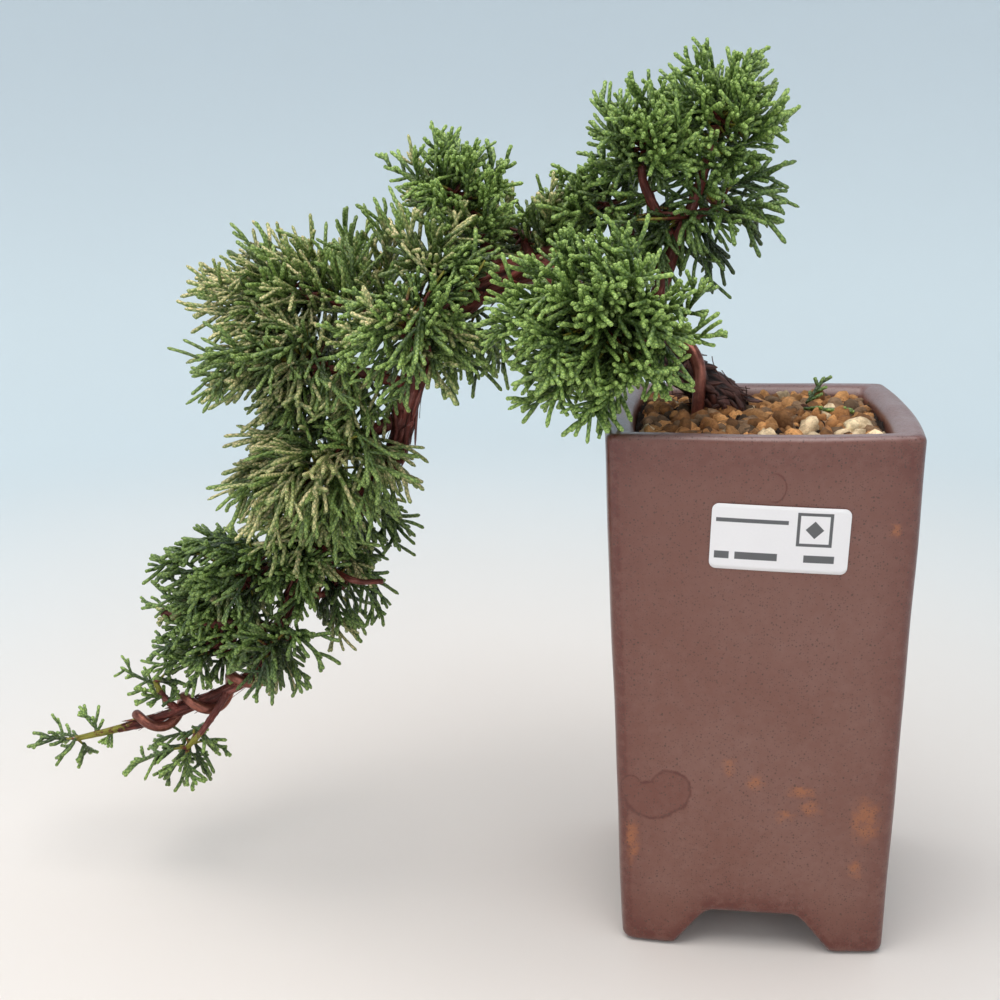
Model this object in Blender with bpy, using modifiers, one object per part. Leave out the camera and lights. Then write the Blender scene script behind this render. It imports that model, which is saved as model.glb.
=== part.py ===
"""A cascading juniper bonsai in a tall, square, unglazed stoneware pot.

Lengths are in millimetres and MM turns them into metres. The pot stands on its four feet with its
front face towards -Y, and the tree leans out over the left side of the rim, towards -X. Every
place on the tree is measured from the middle of the pot's rim, so the tree follows the pot. At the
end the whole model is moved so that the middle of its footprint is at the world's origin, with the
feet on z = 0.
"""

import math

import bmesh
import bpy
import numpy as np
from mathutils import Vector, noise

MM = 0.001
GAP = 0.3                    # clearance between pieces that touch or fit into each other

# Pot
POT_HEIGHT = 166.0
POT_TOP_WIDTH = 90.0         # across the flats at the rim, at the corners of a side
POT_BOTTOM_WIDTH = 81.0
SIDE_BOW = 2.0               # how far the middle of a side stands out
CORNER_RADIUS = 4.0
RIM_WIDTH = 8.0
WALL = 7.0
FLOOR = 8.0
RIM_ROUND = 2.0
RIM_INNER_ROUND = 3.0
CAVITY_ROUND = 4.0
FOOT_ROUND = 2.5
FOOT_WALL = 9.0
ARCH_HEIGHT = 13.0
ARCH_TOP_WIDTH = 28.0
ARCH_BOTTOM_WIDTH = 49.0
ARCH_ROUND = 3.0
RECESS_OVER_ARCH = 1.5       # the hollow underneath is this much deeper than the arches
DRAIN_RADIUS = 8.0

# Drainage mesh and the staple that holds it
MESH_WIDTH = 26.0
MESH_THICKNESS = 1.0
MESH_CELLS = 9               # odd: every second cell of the sheet is a hole
STAPLE_WIRE = 1.2
STAPLE_REACH = 12.0          # how far each bent leg runs out under the floor

# Potting mix
SOIL_BELOW_RIM = 3.0
SOIL_MOUND = 2.6             # rise of the mix around the foot of the trunk
SOIL_MOUND_REACH = 13.0
SOIL_UNEVENNESS = 0.5
SOIL_EDGE_DROP = 2.5         # the mix meets the wall this much lower than its general level
SOIL_RINGS = 8
SOIL_INNERMOST_RING = 0.12   # share of the mix's half width

# Paper label on the front face
LABEL_WIDTH = 39.0
LABEL_HEIGHT = 19.5
LABEL_CORNER = 2.0
LABEL_THICKNESS = 0.2
LABEL_RIGHT_OF_MIDDLE = 5.0
LABEL_BELOW_RIM = 29.5
LABEL_TURN = math.radians(-2.5)

# Tree
TREE_SIZE = 1.0              # scale of the whole tree above the rim, with its wires
TRUNK_RADIUS = 5.9
TRUNK_TIP_RADIUS = 0.9
TRUNK_TAPER = 0.85           # under 1: the trunk stays thick for longer
ROOT_FLARE = 2.6             # extra radius at the foot of the trunk
ROOT_FLARE_REACH = 0.06      # share of the trunk's length over which the flare dies out
TRUNK_WIRE = 4.0             # thickness of the training wires
TIP_WIRE = 3.6
TRUNK_WIRE_PITCH = 46.0
TIP_WIRE_PITCH = 20.7

# Each coil: the share of the trunk's length where it starts, its turns, and the turn it starts at
TRUNK_COIL = (0.118, 1.3, 0.06)
TIP_COIL = (0.745, 3.15, 0.1)
WIRE_FOOT = [(-1.6, 0.9, -42.0), (-1.4, 0.7, -30.0), (-1.0, 0.3, -18.0), (-0.4, -0.2, -8.0)]

TRUNK_ROUTE = [
    (-1, 9, -26), (-5, 7, -11), (-11, 5, 1), (-21, 3, 10), (-33, 0, 18), (-45, 2, 24),
    (-56, 4, 34), (-68, 5, 43), (-80, 4, 41), (-92, 1, 34), (-103, -2, 24), (-110, -2, 7),
    (-117, 0, -15), (-133, 3, -35), (-149, 3, -53), (-158, 1, -71), (-166, 0, -89),
    (-180, 0, -101), (-205, 0, -112), (-223, 0, -118), (-241, 0, -123),
]

# Branches: the route starts inside the piece that the branch grows from, then the radius at each end
BRANCHES = {
    "crown_branch": ([(-36, 2, 20), (-31, 3, 35), (-26, 3, 50), (-20, 4, 64), (-16, 6, 77),
                      (-13, 7, 88)], 2.8, 1.2),
    "front_branch": ([(-40, 1, 21), (-42, -12, 26), (-45, -28, 31)], 2.4, 1.3),
    "ridge_back_branch": ([(-70, 5, 43), (-73, 13, 49), (-76, 20, 54)], 2.2, 1.1),
    "ridge_branch": ([(-80, 4, 41), (-88, 9, 54), (-96, 12, 67)], 2.4, 1.1),
    "mid_branch": ([(-95, 0, 32), (-99, -6, 41), (-101, -9, 48)], 1.9, 1.1),
    "left_branch": ([(-101, -1, 26), (-120, 1, 31), (-137, 3, 34), (-154, 5, 37)], 2.8, 1.2),
    "centre_branch": ([(-106, -2, 16), (-106, -13, 22), (-106, -23, 26)], 2.2, 1.1),
    "centre_low_branch": ([(-98, -1, 29), (-95, 3, 25), (-92, 6, 20)], 1.6, 0.9),
    "left_low_branch": ([(-110, -2, 7), (-124, -7, 12), (-144, -10, 15)], 2.4, 1.1),
    "lower_strand": ([(-113, -1, -3), (-124, -5, -8), (-133, -9, -15), (-141, -13, -22)], 2.6, 1.2),
    "lower_back_branch": ([(-129, 2, -30), (-132, 11, -36), (-135, 17, -41)], 2.0, 1.1),
    "side_twig": ([(-149, 3, -53), (-141, 1, -57), (-131, -4, -59), (-122, -5, -58.5)], 1.5, 0.8),
    "low_left_branch": ([(-152, 3, -58), (-162, 0, -58), (-172, -3, -60)], 2.0, 1.0),
    "low_middle_branch": ([(-162, 0, -80), (-161, -7, -81), (-160, -13, -82)], 1.5, 0.9),
    "low_right_branch": ([(-155, 2, -66), (-149, 7, -68), (-144, 10, -68)], 1.8, 1.0),
    "cut_stub": ([(-161, 0, -78), (-174, -3, -76), (-187, -3, -75), (-203, 0, -73.5)], 1.9, 1.6),
    "tail_branch": ([(-169, 0, -93), (-177, -2, -88), (-186, -1, -87)], 1.8, 1.0),
    "tip_up_branch": ([(-201, 0, -110), (-205, -2, -104), (-208, -1, -99)], 1.5, 0.9),
    "tip_low_branch": ([(-181, 0, -101.5), (-184, -5, -107), (-189, -7, -114), (-197, -4, -123)],
                       1.4, 0.9),
}
GROWS_FROM_CROWN = {
    "crown_left_branch": ([(-26, 3, 50), (-32, 4, 61), (-36, 3, 71), (-35, 2, 80)], 2.0, 1.1),
    "crown_low_left_branch": ([(-29, 3, 42), (-39, 8, 54), (-48, 11, 63)], 1.9, 1.0),
    "crown_low_right_branch": ([(-23, 3.5, 57), (-17, 4, 60), (-12, 5, 61)], 1.6, 1.0),
}

# Foliage pads: the middle of each and its half lengths along X, Y and Z. Pads nearer than
# PADS_CLOSE times the sum of their reaches are cut clear of each other.
PADS_CLOSE = 1.25
FOLIAGE = {
    "foliage_crown_right": ((-12, 8, 90), (18, 17, 16)),
    "foliage_crown_left": ((-35, 2, 82), (18, 18, 15)),
    "foliage_crown_low_left": ((-51, 12, 65), (14, 14, 12)),
    "foliage_crown_low_right": ((-8, 5, 61), (14, 15, 11)),
    "foliage_front": ((-46, -38, 29), (28, 19, 25)),
    "foliage_ridge": ((-98, 12, 71), (18, 16, 14)),
    "foliage_ridge_back": ((-77, 23, 55), (16, 13, 11)),
    "foliage_mid": ((-102, -10, 51), (14, 12, 11)),
    "foliage_left_ridge": ((-124, 2, 50), (10, 11, 11)),
    "foliage_left_upper": ((-152, 7, 38), (29, 22, 16)),
    "foliage_left_lower": ((-150, -11, 15), (28, 19, 14)),
    "foliage_centre": ((-106, -26, 26), (20, 14, 17)),
    "foliage_centre_low": ((-91, 6, 18), (11, 12, 13)),
    "foliage_lower": ((-141, -15, -23), (28, 15, 18)),
    "foliage_lower_back": ((-136, 19, -43), (17, 11, 16)),
    "foliage_low_left": ((-174, -4, -60), (26, 17, 16)),
    "foliage_low_right": ((-142, 12, -68), (14, 13, 17)),
    "foliage_low_middle": ((-159, -14, -83), (15, 10, 13)),
    "foliage_tail": ((-187, 0, -88), (24, 13, 11)),
    "foliage_tip_upper": ((-208, -1, -97), (12, 8, 8)),
    "foliage_tip_lower": ((-200, -2, -129), (18, 9, 11)),
    "foliage_tip_end": ((-244, 0, -124), (15, 9, 10)),
}

# Loose things on the mix: the place as a share of the opening's half width, then the half lengths
# and turn. Their sizes, and the sprigs' places, are for an opening with a half width of
# LOOSE_OPENING; they grow and shrink with it.
LOOSE_OPENING = 37.0
LOOSE_RISE = 0.35            # a grain's middle is this share of its half height over the mix
GRAIN_LUMPS = 0.16
GRAIN_LUMP_SCALE = 1.6
GRAINS = {
    "grain_cream_middle": ((0.42, -0.72), (4.2, 3.2, 2.6), 20),
    "grain_cream_right": ((0.80, -0.70), (3.9, 3.0, 2.5), -10),
    "grain_tan_left": ((-0.70, -0.60), (4.6, 3.2, 2.7), 12),
    "grain_ochre_front": ((0.14, -0.40), (4.4, 2.8, 2.4), -14),
    "grain_ochre_back": ((0.62, 0.72), (3.8, 3.4, 3.2), 30),
}
BARK_CHIP = ((0.44, 0.30), (2.6, 1.3, 1.1), 35)
SPRIG_RADIUS = 0.8
SPRIG_STANDING = [(17.0, 18.5, 0.6), (18.8, 19.6, 2.0), (20.6, 20.8, 4.2), (21.8, 21.6, 6.8)]
SPRIG_LYING = [(16.5, 2.0, 0.9), (20.0, 3.4, 1.3), (24.0, 3.0, 1.2), (28.5, 1.4, 0.9)]

# How finely the surfaces are divided
SIDE_STEPS = 6
CORNER_STEPS = 3
ROUND_STEPS = 3
TRUNK_SIDES_LEVEL = 3
WIRE_SIDES_LEVEL = 2
TWIG_SIDES_LEVEL = 1
WIRE_STEPS_PER_TURN = 14
PAD_SEGMENTS = 12
PAD_RINGS = 8

COLOURS = {                                  # colour, roughness, metallic
    "stoneware": ((0.18, 0.085, 0.07), 0.42, 0.0),
    "potting_mix": ((0.33, 0.16, 0.06), 0.9, 0.0),
    "pumice": ((0.62, 0.48, 0.33), 0.9, 0.0),
    "bark": ((0.13, 0.045, 0.028), 0.85, 0.0),
    "twig": ((0.20, 0.075, 0.035), 0.8, 0.0),
    "foliage": ((0.06, 0.14, 0.035), 0.75, 0.0),
    "wire": ((0.20, 0.085, 0.065), 0.3, 0.9),
    "staple": ((0.55, 0.55, 0.56), 0.35, 1.0),
    "mesh": ((0.03, 0.05, 0.03), 0.6, 0.0),
    "paper": ((0.86, 0.85, 0.84), 0.6, 0.0),
}


# ---------------------------------------------------------------- scene and objects

def clear_scene():
    for thing in list(bpy.data.objects):
        bpy.data.objects.remove(thing, do_unlink=True)


def make_collection(name):
    collection = bpy.data.collections.new(name)
    bpy.context.scene.collection.children.link(collection)
    return collection


def finish_named(name):
    material = bpy.data.materials.get(name)
    if material is None:
        colour, roughness, metallic = COLOURS[name]
        material = bpy.data.materials.new(name)
        material.use_nodes = True
        shader = material.node_tree.nodes["Principled BSDF"]
        shader.inputs["Base Color"].default_value = (*colour, 1)
        shader.inputs["Roughness"].default_value = roughness
        shader.inputs["Metallic"].default_value = metallic
    return material


def add_object(name, data, finish, collection):
    thing = bpy.data.objects.new(name, data)
    collection.objects.link(thing)
    if finish:
        data.materials.append(finish_named(finish))
    return thing


def add_part(name, mesh, finish):
    mesh.shade_smooth()
    mesh.set_sharp_from_angle(angle=math.radians(35))
    return add_object(name, mesh, finish, PARTS)


def add_cutter(name, mesh):
    cutter = add_object(name, mesh, None, CUTTERS)
    cutter.hide_render = True
    cutter.display_type = "WIRE"
    return cutter


def cut(piece, *cutters):
    """Cut each cutter out of the piece with a live Boolean."""
    for cutter in cutters:
        modifier = piece.modifiers.new("clear_of_" + cutter.name, "BOOLEAN")
        modifier.operation = "DIFFERENCE"
        modifier.solver = "EXACT"
        modifier.object = cutter


def mesh_from_bmesh(name, shape):
    mesh = bpy.data.meshes.new(name)
    shape.to_mesh(mesh)
    shape.free()
    return mesh


def on_tree(points):
    """Places on the tree, from the middle of the rim, as millimetres from the pot's foot."""
    return np.array(points, dtype=float) * TREE_SIZE + (0, 0, POT_HEIGHT)


# ---------------------------------------------------------------- pot-shaped surfaces

def half_width(height):
    """Half the pot's outer width at a height: a straight taper from the feet to the rim."""
    share = height / POT_HEIGHT
    return 0.5 * (POT_BOTTOM_WIDTH + (POT_TOP_WIDTH - POT_BOTTOM_WIDTH) * share)


def bow_at(along, half):
    """How far a side stands out at a distance along it: a parabola that ends at the corners."""
    flat = half - CORNER_RADIUS
    return SIDE_BOW * (1 - np.minimum(np.abs(along) / flat, 1) ** 2)


def square_ring(inset, height, wide=None):
    """A level ring of points: the pot's bowed square, moved in from the outer face by inset."""
    half = (half_width(height) if wide is None else wide) - inset
    radius = max(CORNER_RADIUS - inset, 0.4 * CORNER_RADIUS)
    along = np.linspace(-1, 1, SIDE_STEPS + 1) * (half - radius)
    side = np.column_stack([along, -(half + bow_at(along, half + CORNER_RADIUS - radius))])
    turn = np.linspace(0, 0.5 * math.pi, CORNER_STEPS + 1)[1:-1]
    corner = np.column_stack([np.sin(turn), -np.cos(turn)]) * radius + (half - radius, radius - half)
    quarter = np.vstack([side, corner])
    ring = []
    for step in range(4):
        cosine, sine = math.cos(step * math.pi / 2), math.sin(step * math.pi / 2)
        ring.append(quarter @ np.array([[cosine, sine], [-sine, cosine]]))
    ring = np.vstack(ring)
    return np.column_stack([ring, np.full(len(ring), height)])


def loft(name, rings):
    """A skin over rings with equal numbers of points, closed by a flat face at each end."""
    shape = bmesh.new()
    rows = [[shape.verts.new(Vector(point) * MM) for point in ring] for ring in rings]
    shape.faces.new(list(reversed(rows[0])))
    for lower, upper in zip(rows, rows[1:]):
        for i in range(len(lower)):
            j = (i + 1) % len(lower)
            shape.faces.new((lower[i], lower[j], upper[j], upper[i]))
    shape.faces.new(rows[-1])
    bmesh.ops.recalc_face_normals(shape, faces=shape.faces)
    return mesh_from_bmesh(name, shape)


def rounding(inset_from, inset_to, height_from, height_to, turn_first):
    """Insets and heights along a quarter round, without its first point.

    turn_first is "up" when the round leaves its start vertically and "in" when it leaves level.
    """
    turn = np.linspace(0, 0.5 * math.pi, ROUND_STEPS + 1)[1:]
    slow, fast = 1 - np.cos(turn), np.sin(turn)
    across, up = (slow, fast) if turn_first == "up" else (fast, slow)
    return list(zip(inset_from + (inset_to - inset_from) * across,
                    height_from + (height_to - height_from) * up))


def recess_height():
    return ARCH_HEIGHT + RECESS_OVER_ARCH


def floor_height():
    return recess_height() + FLOOR


def cavity_inset(height):
    """Thickness of the wall inside the pot: WALL at the floor, RIM_WIDTH at the rim."""
    share = (height - floor_height()) / (POT_HEIGHT - floor_height())
    return WALL + (RIM_WIDTH - WALL) * share


def pot_profile():
    """Pairs of inset and height from the ceiling under the pot, round the outside, to its floor."""
    floor = floor_height()
    rim_inside = POT_HEIGHT - RIM_INNER_ROUND
    profile = [(FOOT_WALL + 1, recess_height()), (FOOT_WALL, recess_height() - 1), (FOOT_WALL, 0),
               (FOOT_ROUND, 0)]
    profile += rounding(FOOT_ROUND, 0, 0, FOOT_ROUND, "in")
    profile += [(0, POT_HEIGHT - RIM_ROUND)]
    profile += rounding(0, RIM_ROUND, POT_HEIGHT - RIM_ROUND, POT_HEIGHT, "up")
    profile += [(RIM_WIDTH - RIM_INNER_ROUND, POT_HEIGHT)]
    profile += rounding(RIM_WIDTH - RIM_INNER_ROUND, cavity_inset(rim_inside), POT_HEIGHT,
                        rim_inside, "in")
    profile += [(cavity_inset(floor + CAVITY_ROUND), floor + CAVITY_ROUND)]
    profile += rounding(cavity_inset(floor + CAVITY_ROUND), WALL + CAVITY_ROUND,
                        floor + CAVITY_ROUND, floor, "up")
    return profile


def arch_cutter(name, turn):
    """A trapezoid tunnel right through under the pot, with its two upper edges rounded."""
    outline = [(-ARCH_BOTTOM_WIDTH / 2, 0), (ARCH_BOTTOM_WIDTH / 2, 0),
               (ARCH_TOP_WIDTH / 2, ARCH_HEIGHT), (-ARCH_TOP_WIDTH / 2, ARCH_HEIGHT)]
    slope = (ARCH_BOTTOM_WIDTH - ARCH_TOP_WIDTH) / 2 / ARCH_HEIGHT
    below = ARCH_HEIGHT / 2
    outline[0] = (outline[0][0] - slope * below, -below)
    outline[1] = (outline[1][0] + slope * below, -below)
    reach = POT_TOP_WIDTH
    shape = bmesh.new()
    near = [shape.verts.new(Vector((x, -reach, z)) * MM) for x, z in outline]
    face = shape.faces.new(near)
    moved = bmesh.ops.extrude_face_region(shape, geom=[face])["geom"]
    far = [item for item in moved if isinstance(item, bmesh.types.BMVert)]
    bmesh.ops.translate(shape, verts=far, vec=Vector((0, 2 * reach, 0)) * MM)
    top = [edge for edge in shape.edges
           if all(vert.co.z > 0.9 * ARCH_HEIGHT * MM for vert in edge.verts)
           and abs(edge.verts[0].co.y - edge.verts[1].co.y) > reach * MM]
    bmesh.ops.bevel(shape, geom=top, offset=ARCH_ROUND * MM, segments=ROUND_STEPS, affect="EDGES")
    bmesh.ops.recalc_face_normals(shape, faces=shape.faces)
    cutter = add_cutter(name, mesh_from_bmesh(name, shape))
    cutter.rotation_euler.z = turn
    return cutter


def make_pot():
    rings = [square_ring(inset, height) for inset, height in pot_profile()]
    pot = add_part("pot", loft("pot", rings), "stoneware")
    hole = bmesh.new()
    bmesh.ops.create_cone(hole, cap_ends=True, segments=24, radius1=DRAIN_RADIUS * MM,
                          radius2=DRAIN_RADIUS * MM, depth=4 * FLOOR * MM)
    drain = add_cutter("drain_cutter", mesh_from_bmesh("drain_cutter", hole))
    drain.location.z = (recess_height() + FLOOR / 2) * MM
    cut(pot, arch_cutter("arch_cutter_front", 0), arch_cutter("arch_cutter_side", math.pi / 2), drain)


# ---------------------------------------------------------------- drainage mesh and staple

def make_drainage_mesh():
    """A sheet of square cells with every second one open, lying on the pot's floor."""
    shape = bmesh.new()
    bmesh.ops.create_grid(shape, x_segments=MESH_CELLS, y_segments=MESH_CELLS,
                          size=MESH_WIDTH / 2 * MM)
    cell = MESH_WIDTH / MESH_CELLS * MM
    holes = []
    for face in shape.faces:
        middle = face.calc_center_median()
        column = round(middle.x / cell + (MESH_CELLS - 1) / 2)
        row = round(middle.y / cell + (MESH_CELLS - 1) / 2)
        if column % 2 and row % 2:
            holes.append(face)
    bmesh.ops.delete(shape, geom=holes, context="FACES")
    sheet = add_part("drainage_mesh", mesh_from_bmesh("drainage_mesh", shape), "mesh")
    sheet.location.z = (floor_height() + GAP) * MM
    solid = sheet.modifiers.new("thickness", "SOLIDIFY")
    solid.thickness = MESH_THICKNESS * MM
    solid.offset = 1


def make_mesh_staple():
    """A bent wire over the mesh: down through two of its holes and out along the floor below."""
    hole = MESH_WIDTH / MESH_CELLS
    radius = STAPLE_WIRE / 2
    over = floor_height() + 2 * GAP + MESH_THICKNESS + radius
    under = recess_height() - GAP - radius
    turn = 0.4 * hole
    right = [(hole - turn, over), (hole, over - turn), (hole, under + turn), (hole + turn, under),
             (hole + STAPLE_REACH, under)]
    left = [(-x, z) for x, z in reversed(right)]
    points = [(x, hole, z) for x, z in left + right]
    tube("mesh_staple", points, [radius] * len(points), "staple", TWIG_SIDES_LEVEL)


# ---------------------------------------------------------------- tubes: trunk, branches, wires

def smooth_route(points, steps):
    """A Catmull-Rom curve through the points, with steps stretches from each to the next."""
    points = np.array(points, dtype=float)
    before = 2 * points[0] - points[1]
    after = 2 * points[-1] - points[-2]
    held = np.vstack([before, points, after])
    t = np.linspace(0, 1, steps, endpoint=False)[:, None]
    route = []
    for a, b, c, d in zip(held, held[1:], held[2:], held[3:]):
        route.append(0.5 * (2 * b + (c - a) * t + (2 * a - 5 * b + 4 * c - d) * t ** 2
                            + (3 * b - 3 * c + d - a) * t ** 3))
    return np.vstack(route + [points[-1:]])


def tube_curve(name, points, radii, level, collection):
    curve = bpy.data.curves.new(name, "CURVE")
    curve.dimensions = "3D"
    curve.bevel_depth = MM
    curve.bevel_resolution = level
    curve.use_fill_caps = True
    spline = curve.splines.new("POLY")
    spline.points.add(len(points) - 1)
    for knot, place, radius in zip(spline.points, points, radii):
        knot.co = (*(Vector(place) * MM), 1)
        knot.radius = radius
    return add_object(name, curve, None, collection)


def tube_mesh(name, points, radii, level):
    """A round tube along the points, as a mesh with its end caps welded on."""
    curve = tube_curve(name + "_route", points, radii, level, CUTTERS)
    graph = bpy.context.evaluated_depsgraph_get()
    mesh = bpy.data.meshes.new_from_object(curve.evaluated_get(graph))
    bpy.data.objects.remove(curve, do_unlink=True)
    shape = bmesh.new()
    shape.from_mesh(mesh)
    bmesh.ops.remove_doubles(shape, verts=shape.verts, dist=0.001 * MM)
    bmesh.ops.recalc_face_normals(shape, faces=shape.faces)
    bpy.data.meshes.remove(mesh)
    return mesh_from_bmesh(name, shape)


def tube(name, points, radii, finish, level):
    """A round tube along the points as one of the plant's pieces."""
    return add_part(name, tube_mesh(name, points, radii, level), finish)


def grown_tube(name, points, radii, level):
    """A cutter for the room that a tube needs: GAP thicker all round and longer at both ends."""
    points = np.array(points, dtype=float)
    start = points[0] - points[1]
    end = points[-1] - points[-2]
    longer = np.vstack([points[0] + start / np.linalg.norm(start) * GAP, points[1:-1],
                        points[-1] + end / np.linalg.norm(end) * GAP])
    return add_cutter(name + "_room", tube_mesh(name + "_room", longer,
                                                [radius + GAP for radius in radii], level))


def trunk_route():
    return smooth_route(on_tree(TRUNK_ROUTE), 3)


def length_shares(route):
    """How far along the route each point lies, from 0 to 1."""
    steps = np.linalg.norm(np.diff(route, axis=0), axis=1)
    along = np.concatenate([[0], np.cumsum(steps)])
    return along / along[-1]


def trunk_radius(share):
    """The trunk's radius: a taper to the tip, and a flare that dies out above the root."""
    taper = TRUNK_TIP_RADIUS + (TRUNK_RADIUS - TRUNK_TIP_RADIUS) * (1 - share) ** TRUNK_TAPER
    return (taper + ROOT_FLARE * np.exp(-(share / ROOT_FLARE_REACH) ** 2)) * TREE_SIZE


def make_trunk():
    """The trunk; gives back the room that it needs."""
    route = trunk_route()
    radii = trunk_radius(length_shares(route))
    tube("trunk", route, radii, "bark", TRUNK_SIDES_LEVEL)
    return grown_tube("trunk", route, radii, TRUNK_SIDES_LEVEL)


def wire_steps_per_turn():
    """Steps in a turn of wire: more on a larger tree, so that a straight step sags no deeper."""
    return math.ceil(WIRE_STEPS_PER_TURN * math.sqrt(TREE_SIZE))


def coil_on_trunk(coil, pitch, radius):
    """Points of a wire wound on the trunk.

    The wire starts at a share of the trunk's length. Its angle is counted from the front, -Y, over
    the top of the trunk, and it runs one pitch along the trunk for each turn.
    """
    start_share, turns, start_turn = coil
    route = trunk_route()
    shares = length_shares(route)
    length = np.linalg.norm(np.diff(route, axis=0), axis=1).sum()
    count = int(turns * wire_steps_per_turn()) + 1
    turn = np.linspace(0, turns, count)
    share = start_share + turn * pitch / length
    middle = np.column_stack([np.interp(share, shares, route[:, i]) for i in range(3)])
    ahead = np.column_stack([np.interp(share + 0.01, shares, route[:, i]) for i in range(3)])
    along = ahead - middle
    along /= np.linalg.norm(along, axis=1)[:, None]
    front = np.array([0.0, -1.0, 0.0]) - along * (-along[:, 1:2])
    front /= np.linalg.norm(front, axis=1)[:, None]
    top = np.cross(along, front)
    angle = (start_turn + turn)[:, None] * 2 * math.pi
    reach = (trunk_radius(share) + GAP + radius)[:, None]
    return middle + reach * (np.cos(angle) * front + np.sin(angle) * top)


def make_wires():
    """The thick wire anchored in the pot and wound round the trunk, and the one on the tip.

    Gives back the rooms that they need.
    """
    trunk_wire_radius = TRUNK_WIRE / 2 * TREE_SIZE
    tip_wire_radius = TIP_WIRE / 2 * TREE_SIZE
    coil = coil_on_trunk(TRUNK_COIL, TRUNK_WIRE_PITCH * TREE_SIZE, trunk_wire_radius)
    foot = coil[0] + np.array(WIRE_FOOT) * TREE_SIZE
    foot_to_coil = smooth_route(np.vstack([foot, coil[:1]]), 2)
    anchored = np.vstack([foot_to_coil, coil[1:]])
    tip = coil_on_trunk(TIP_COIL, TIP_WIRE_PITCH * TREE_SIZE, tip_wire_radius)
    rooms = []
    for name, points, radius in (("trunk_wire", anchored, trunk_wire_radius),
                                 ("tip_wire", tip, tip_wire_radius)):
        radii = [radius] * len(points)
        tube(name, points, radii, "wire", WIRE_SIDES_LEVEL)
        rooms.append(grown_tube(name, points, radii, WIRE_SIDES_LEVEL))
    return rooms


def make_branch(name, points, first_radius, last_radius, rooms_to_leave):
    """A tapering branch, cut to sit on the piece that it grows from; gives back its room."""
    route = smooth_route(on_tree(points), 3)
    radii = (first_radius + (last_radius - first_radius) * length_shares(route)) * TREE_SIZE
    branch = tube(name, route, radii, "twig", TWIG_SIDES_LEVEL)
    cut(branch, *rooms_to_leave)
    return grown_tube(name, route, radii, TWIG_SIDES_LEVEL)


# ---------------------------------------------------------------- foliage and loose pieces

def pad_mesh(name, grow):
    """A rounded pad: a sphere stretched to the pad's half lengths, plus grow on each of them."""
    halves = FOLIAGE[name][1]
    shape = bmesh.new()
    bmesh.ops.create_uvsphere(shape, u_segments=PAD_SEGMENTS, v_segments=PAD_RINGS, radius=MM)
    bmesh.ops.scale(shape, verts=shape.verts, vec=Vector(halves) * TREE_SIZE + Vector((grow,) * 3))
    return mesh_from_bmesh(name, shape)


def overlaps(first, second):
    """Whether two pads come within a few gaps of each other, tested as stretched spheres."""
    (middle_a, halves_a), (middle_b, halves_b) = FOLIAGE[first], FOLIAGE[second]
    apart = np.array(middle_b, dtype=float) - middle_a
    way = apart / np.linalg.norm(apart)
    reach = sum(1 / np.linalg.norm(way / halves) for halves in (halves_a, halves_b))
    return np.linalg.norm(apart) < PADS_CLOSE * reach


def make_foliage(rooms):
    """The pads, each cut clear of the wood, the wires and the pads made before it."""
    pad_rooms = {}
    for name, (middle, _) in FOLIAGE.items():
        pad = add_part(name, pad_mesh(name, 0), "foliage")
        pad.location = Vector(on_tree([middle])[0]) * MM
        cut(pad, *rooms)
        cut(pad, *(room for other, room in pad_rooms.items() if overlaps(name, other)))
        pad_rooms[name] = add_cutter(name + "_room", pad_mesh(name, GAP))
        pad_rooms[name].location = pad.location


def soil_height(x, y):
    """The top of the mix: level below the rim, a mound at the trunk and small unevenness."""
    root = on_tree(TRUNK_ROUTE[2:3])[0]
    away = np.hypot(x - root[0], y - root[1])
    uneven = np.sin(x * 0.45 + 1.3) * np.sin(y * 0.52 - 0.4) + 0.5 * np.sin(x * 0.9 + y * 0.7)
    return (POT_HEIGHT - SOIL_BELOW_RIM + SOIL_MOUND * np.exp(-(away / SOIL_MOUND_REACH) ** 2)
            + SOIL_UNEVENNESS * uneven)


def soil_top_rings(edge):
    """Rings from the mix's edge to its middle, each at the height of the mix there."""
    rings = []
    for share in np.linspace(1, SOIL_INNERMOST_RING, SOIL_RINGS):
        flat = edge[:, :2] * share
        rings.append(np.column_stack([flat, soil_height(flat[:, 0], flat[:, 1])]))
    return rings


def make_potting_mix(rooms):
    bottom = floor_height() + 2 * GAP + CAVITY_ROUND
    top = POT_HEIGHT - SOIL_BELOW_RIM - SOIL_EDGE_DROP
    low = square_ring(WALL + CAVITY_ROUND + GAP, floor_height() + GAP, half_width(floor_height()))
    rings = [low] + [square_ring(cavity_inset(height) + GAP, height) for height in (bottom, top)]
    rings += soil_top_rings(rings[-1])
    mix = add_part("potting_mix", loft("potting_mix", rings), "potting_mix")
    pocket = bmesh.new()
    bmesh.ops.create_cube(pocket, size=1)
    height = 2 * (STAPLE_WIRE + MESH_THICKNESS + 4 * GAP)
    bmesh.ops.scale(pocket, verts=pocket.verts,
                    vec=Vector((MESH_WIDTH + 2 * GAP, MESH_WIDTH + 2 * GAP, height)) * MM)
    room = add_cutter("mesh_room", mesh_from_bmesh("mesh_room", pocket))
    room.location.z = floor_height() * MM
    cut(mix, room, *rooms)


def loose_scale():
    """How large the loose pieces are against the sizes listed for them."""
    return (half_width(POT_HEIGHT) - RIM_WIDTH) / LOOSE_OPENING


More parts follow.
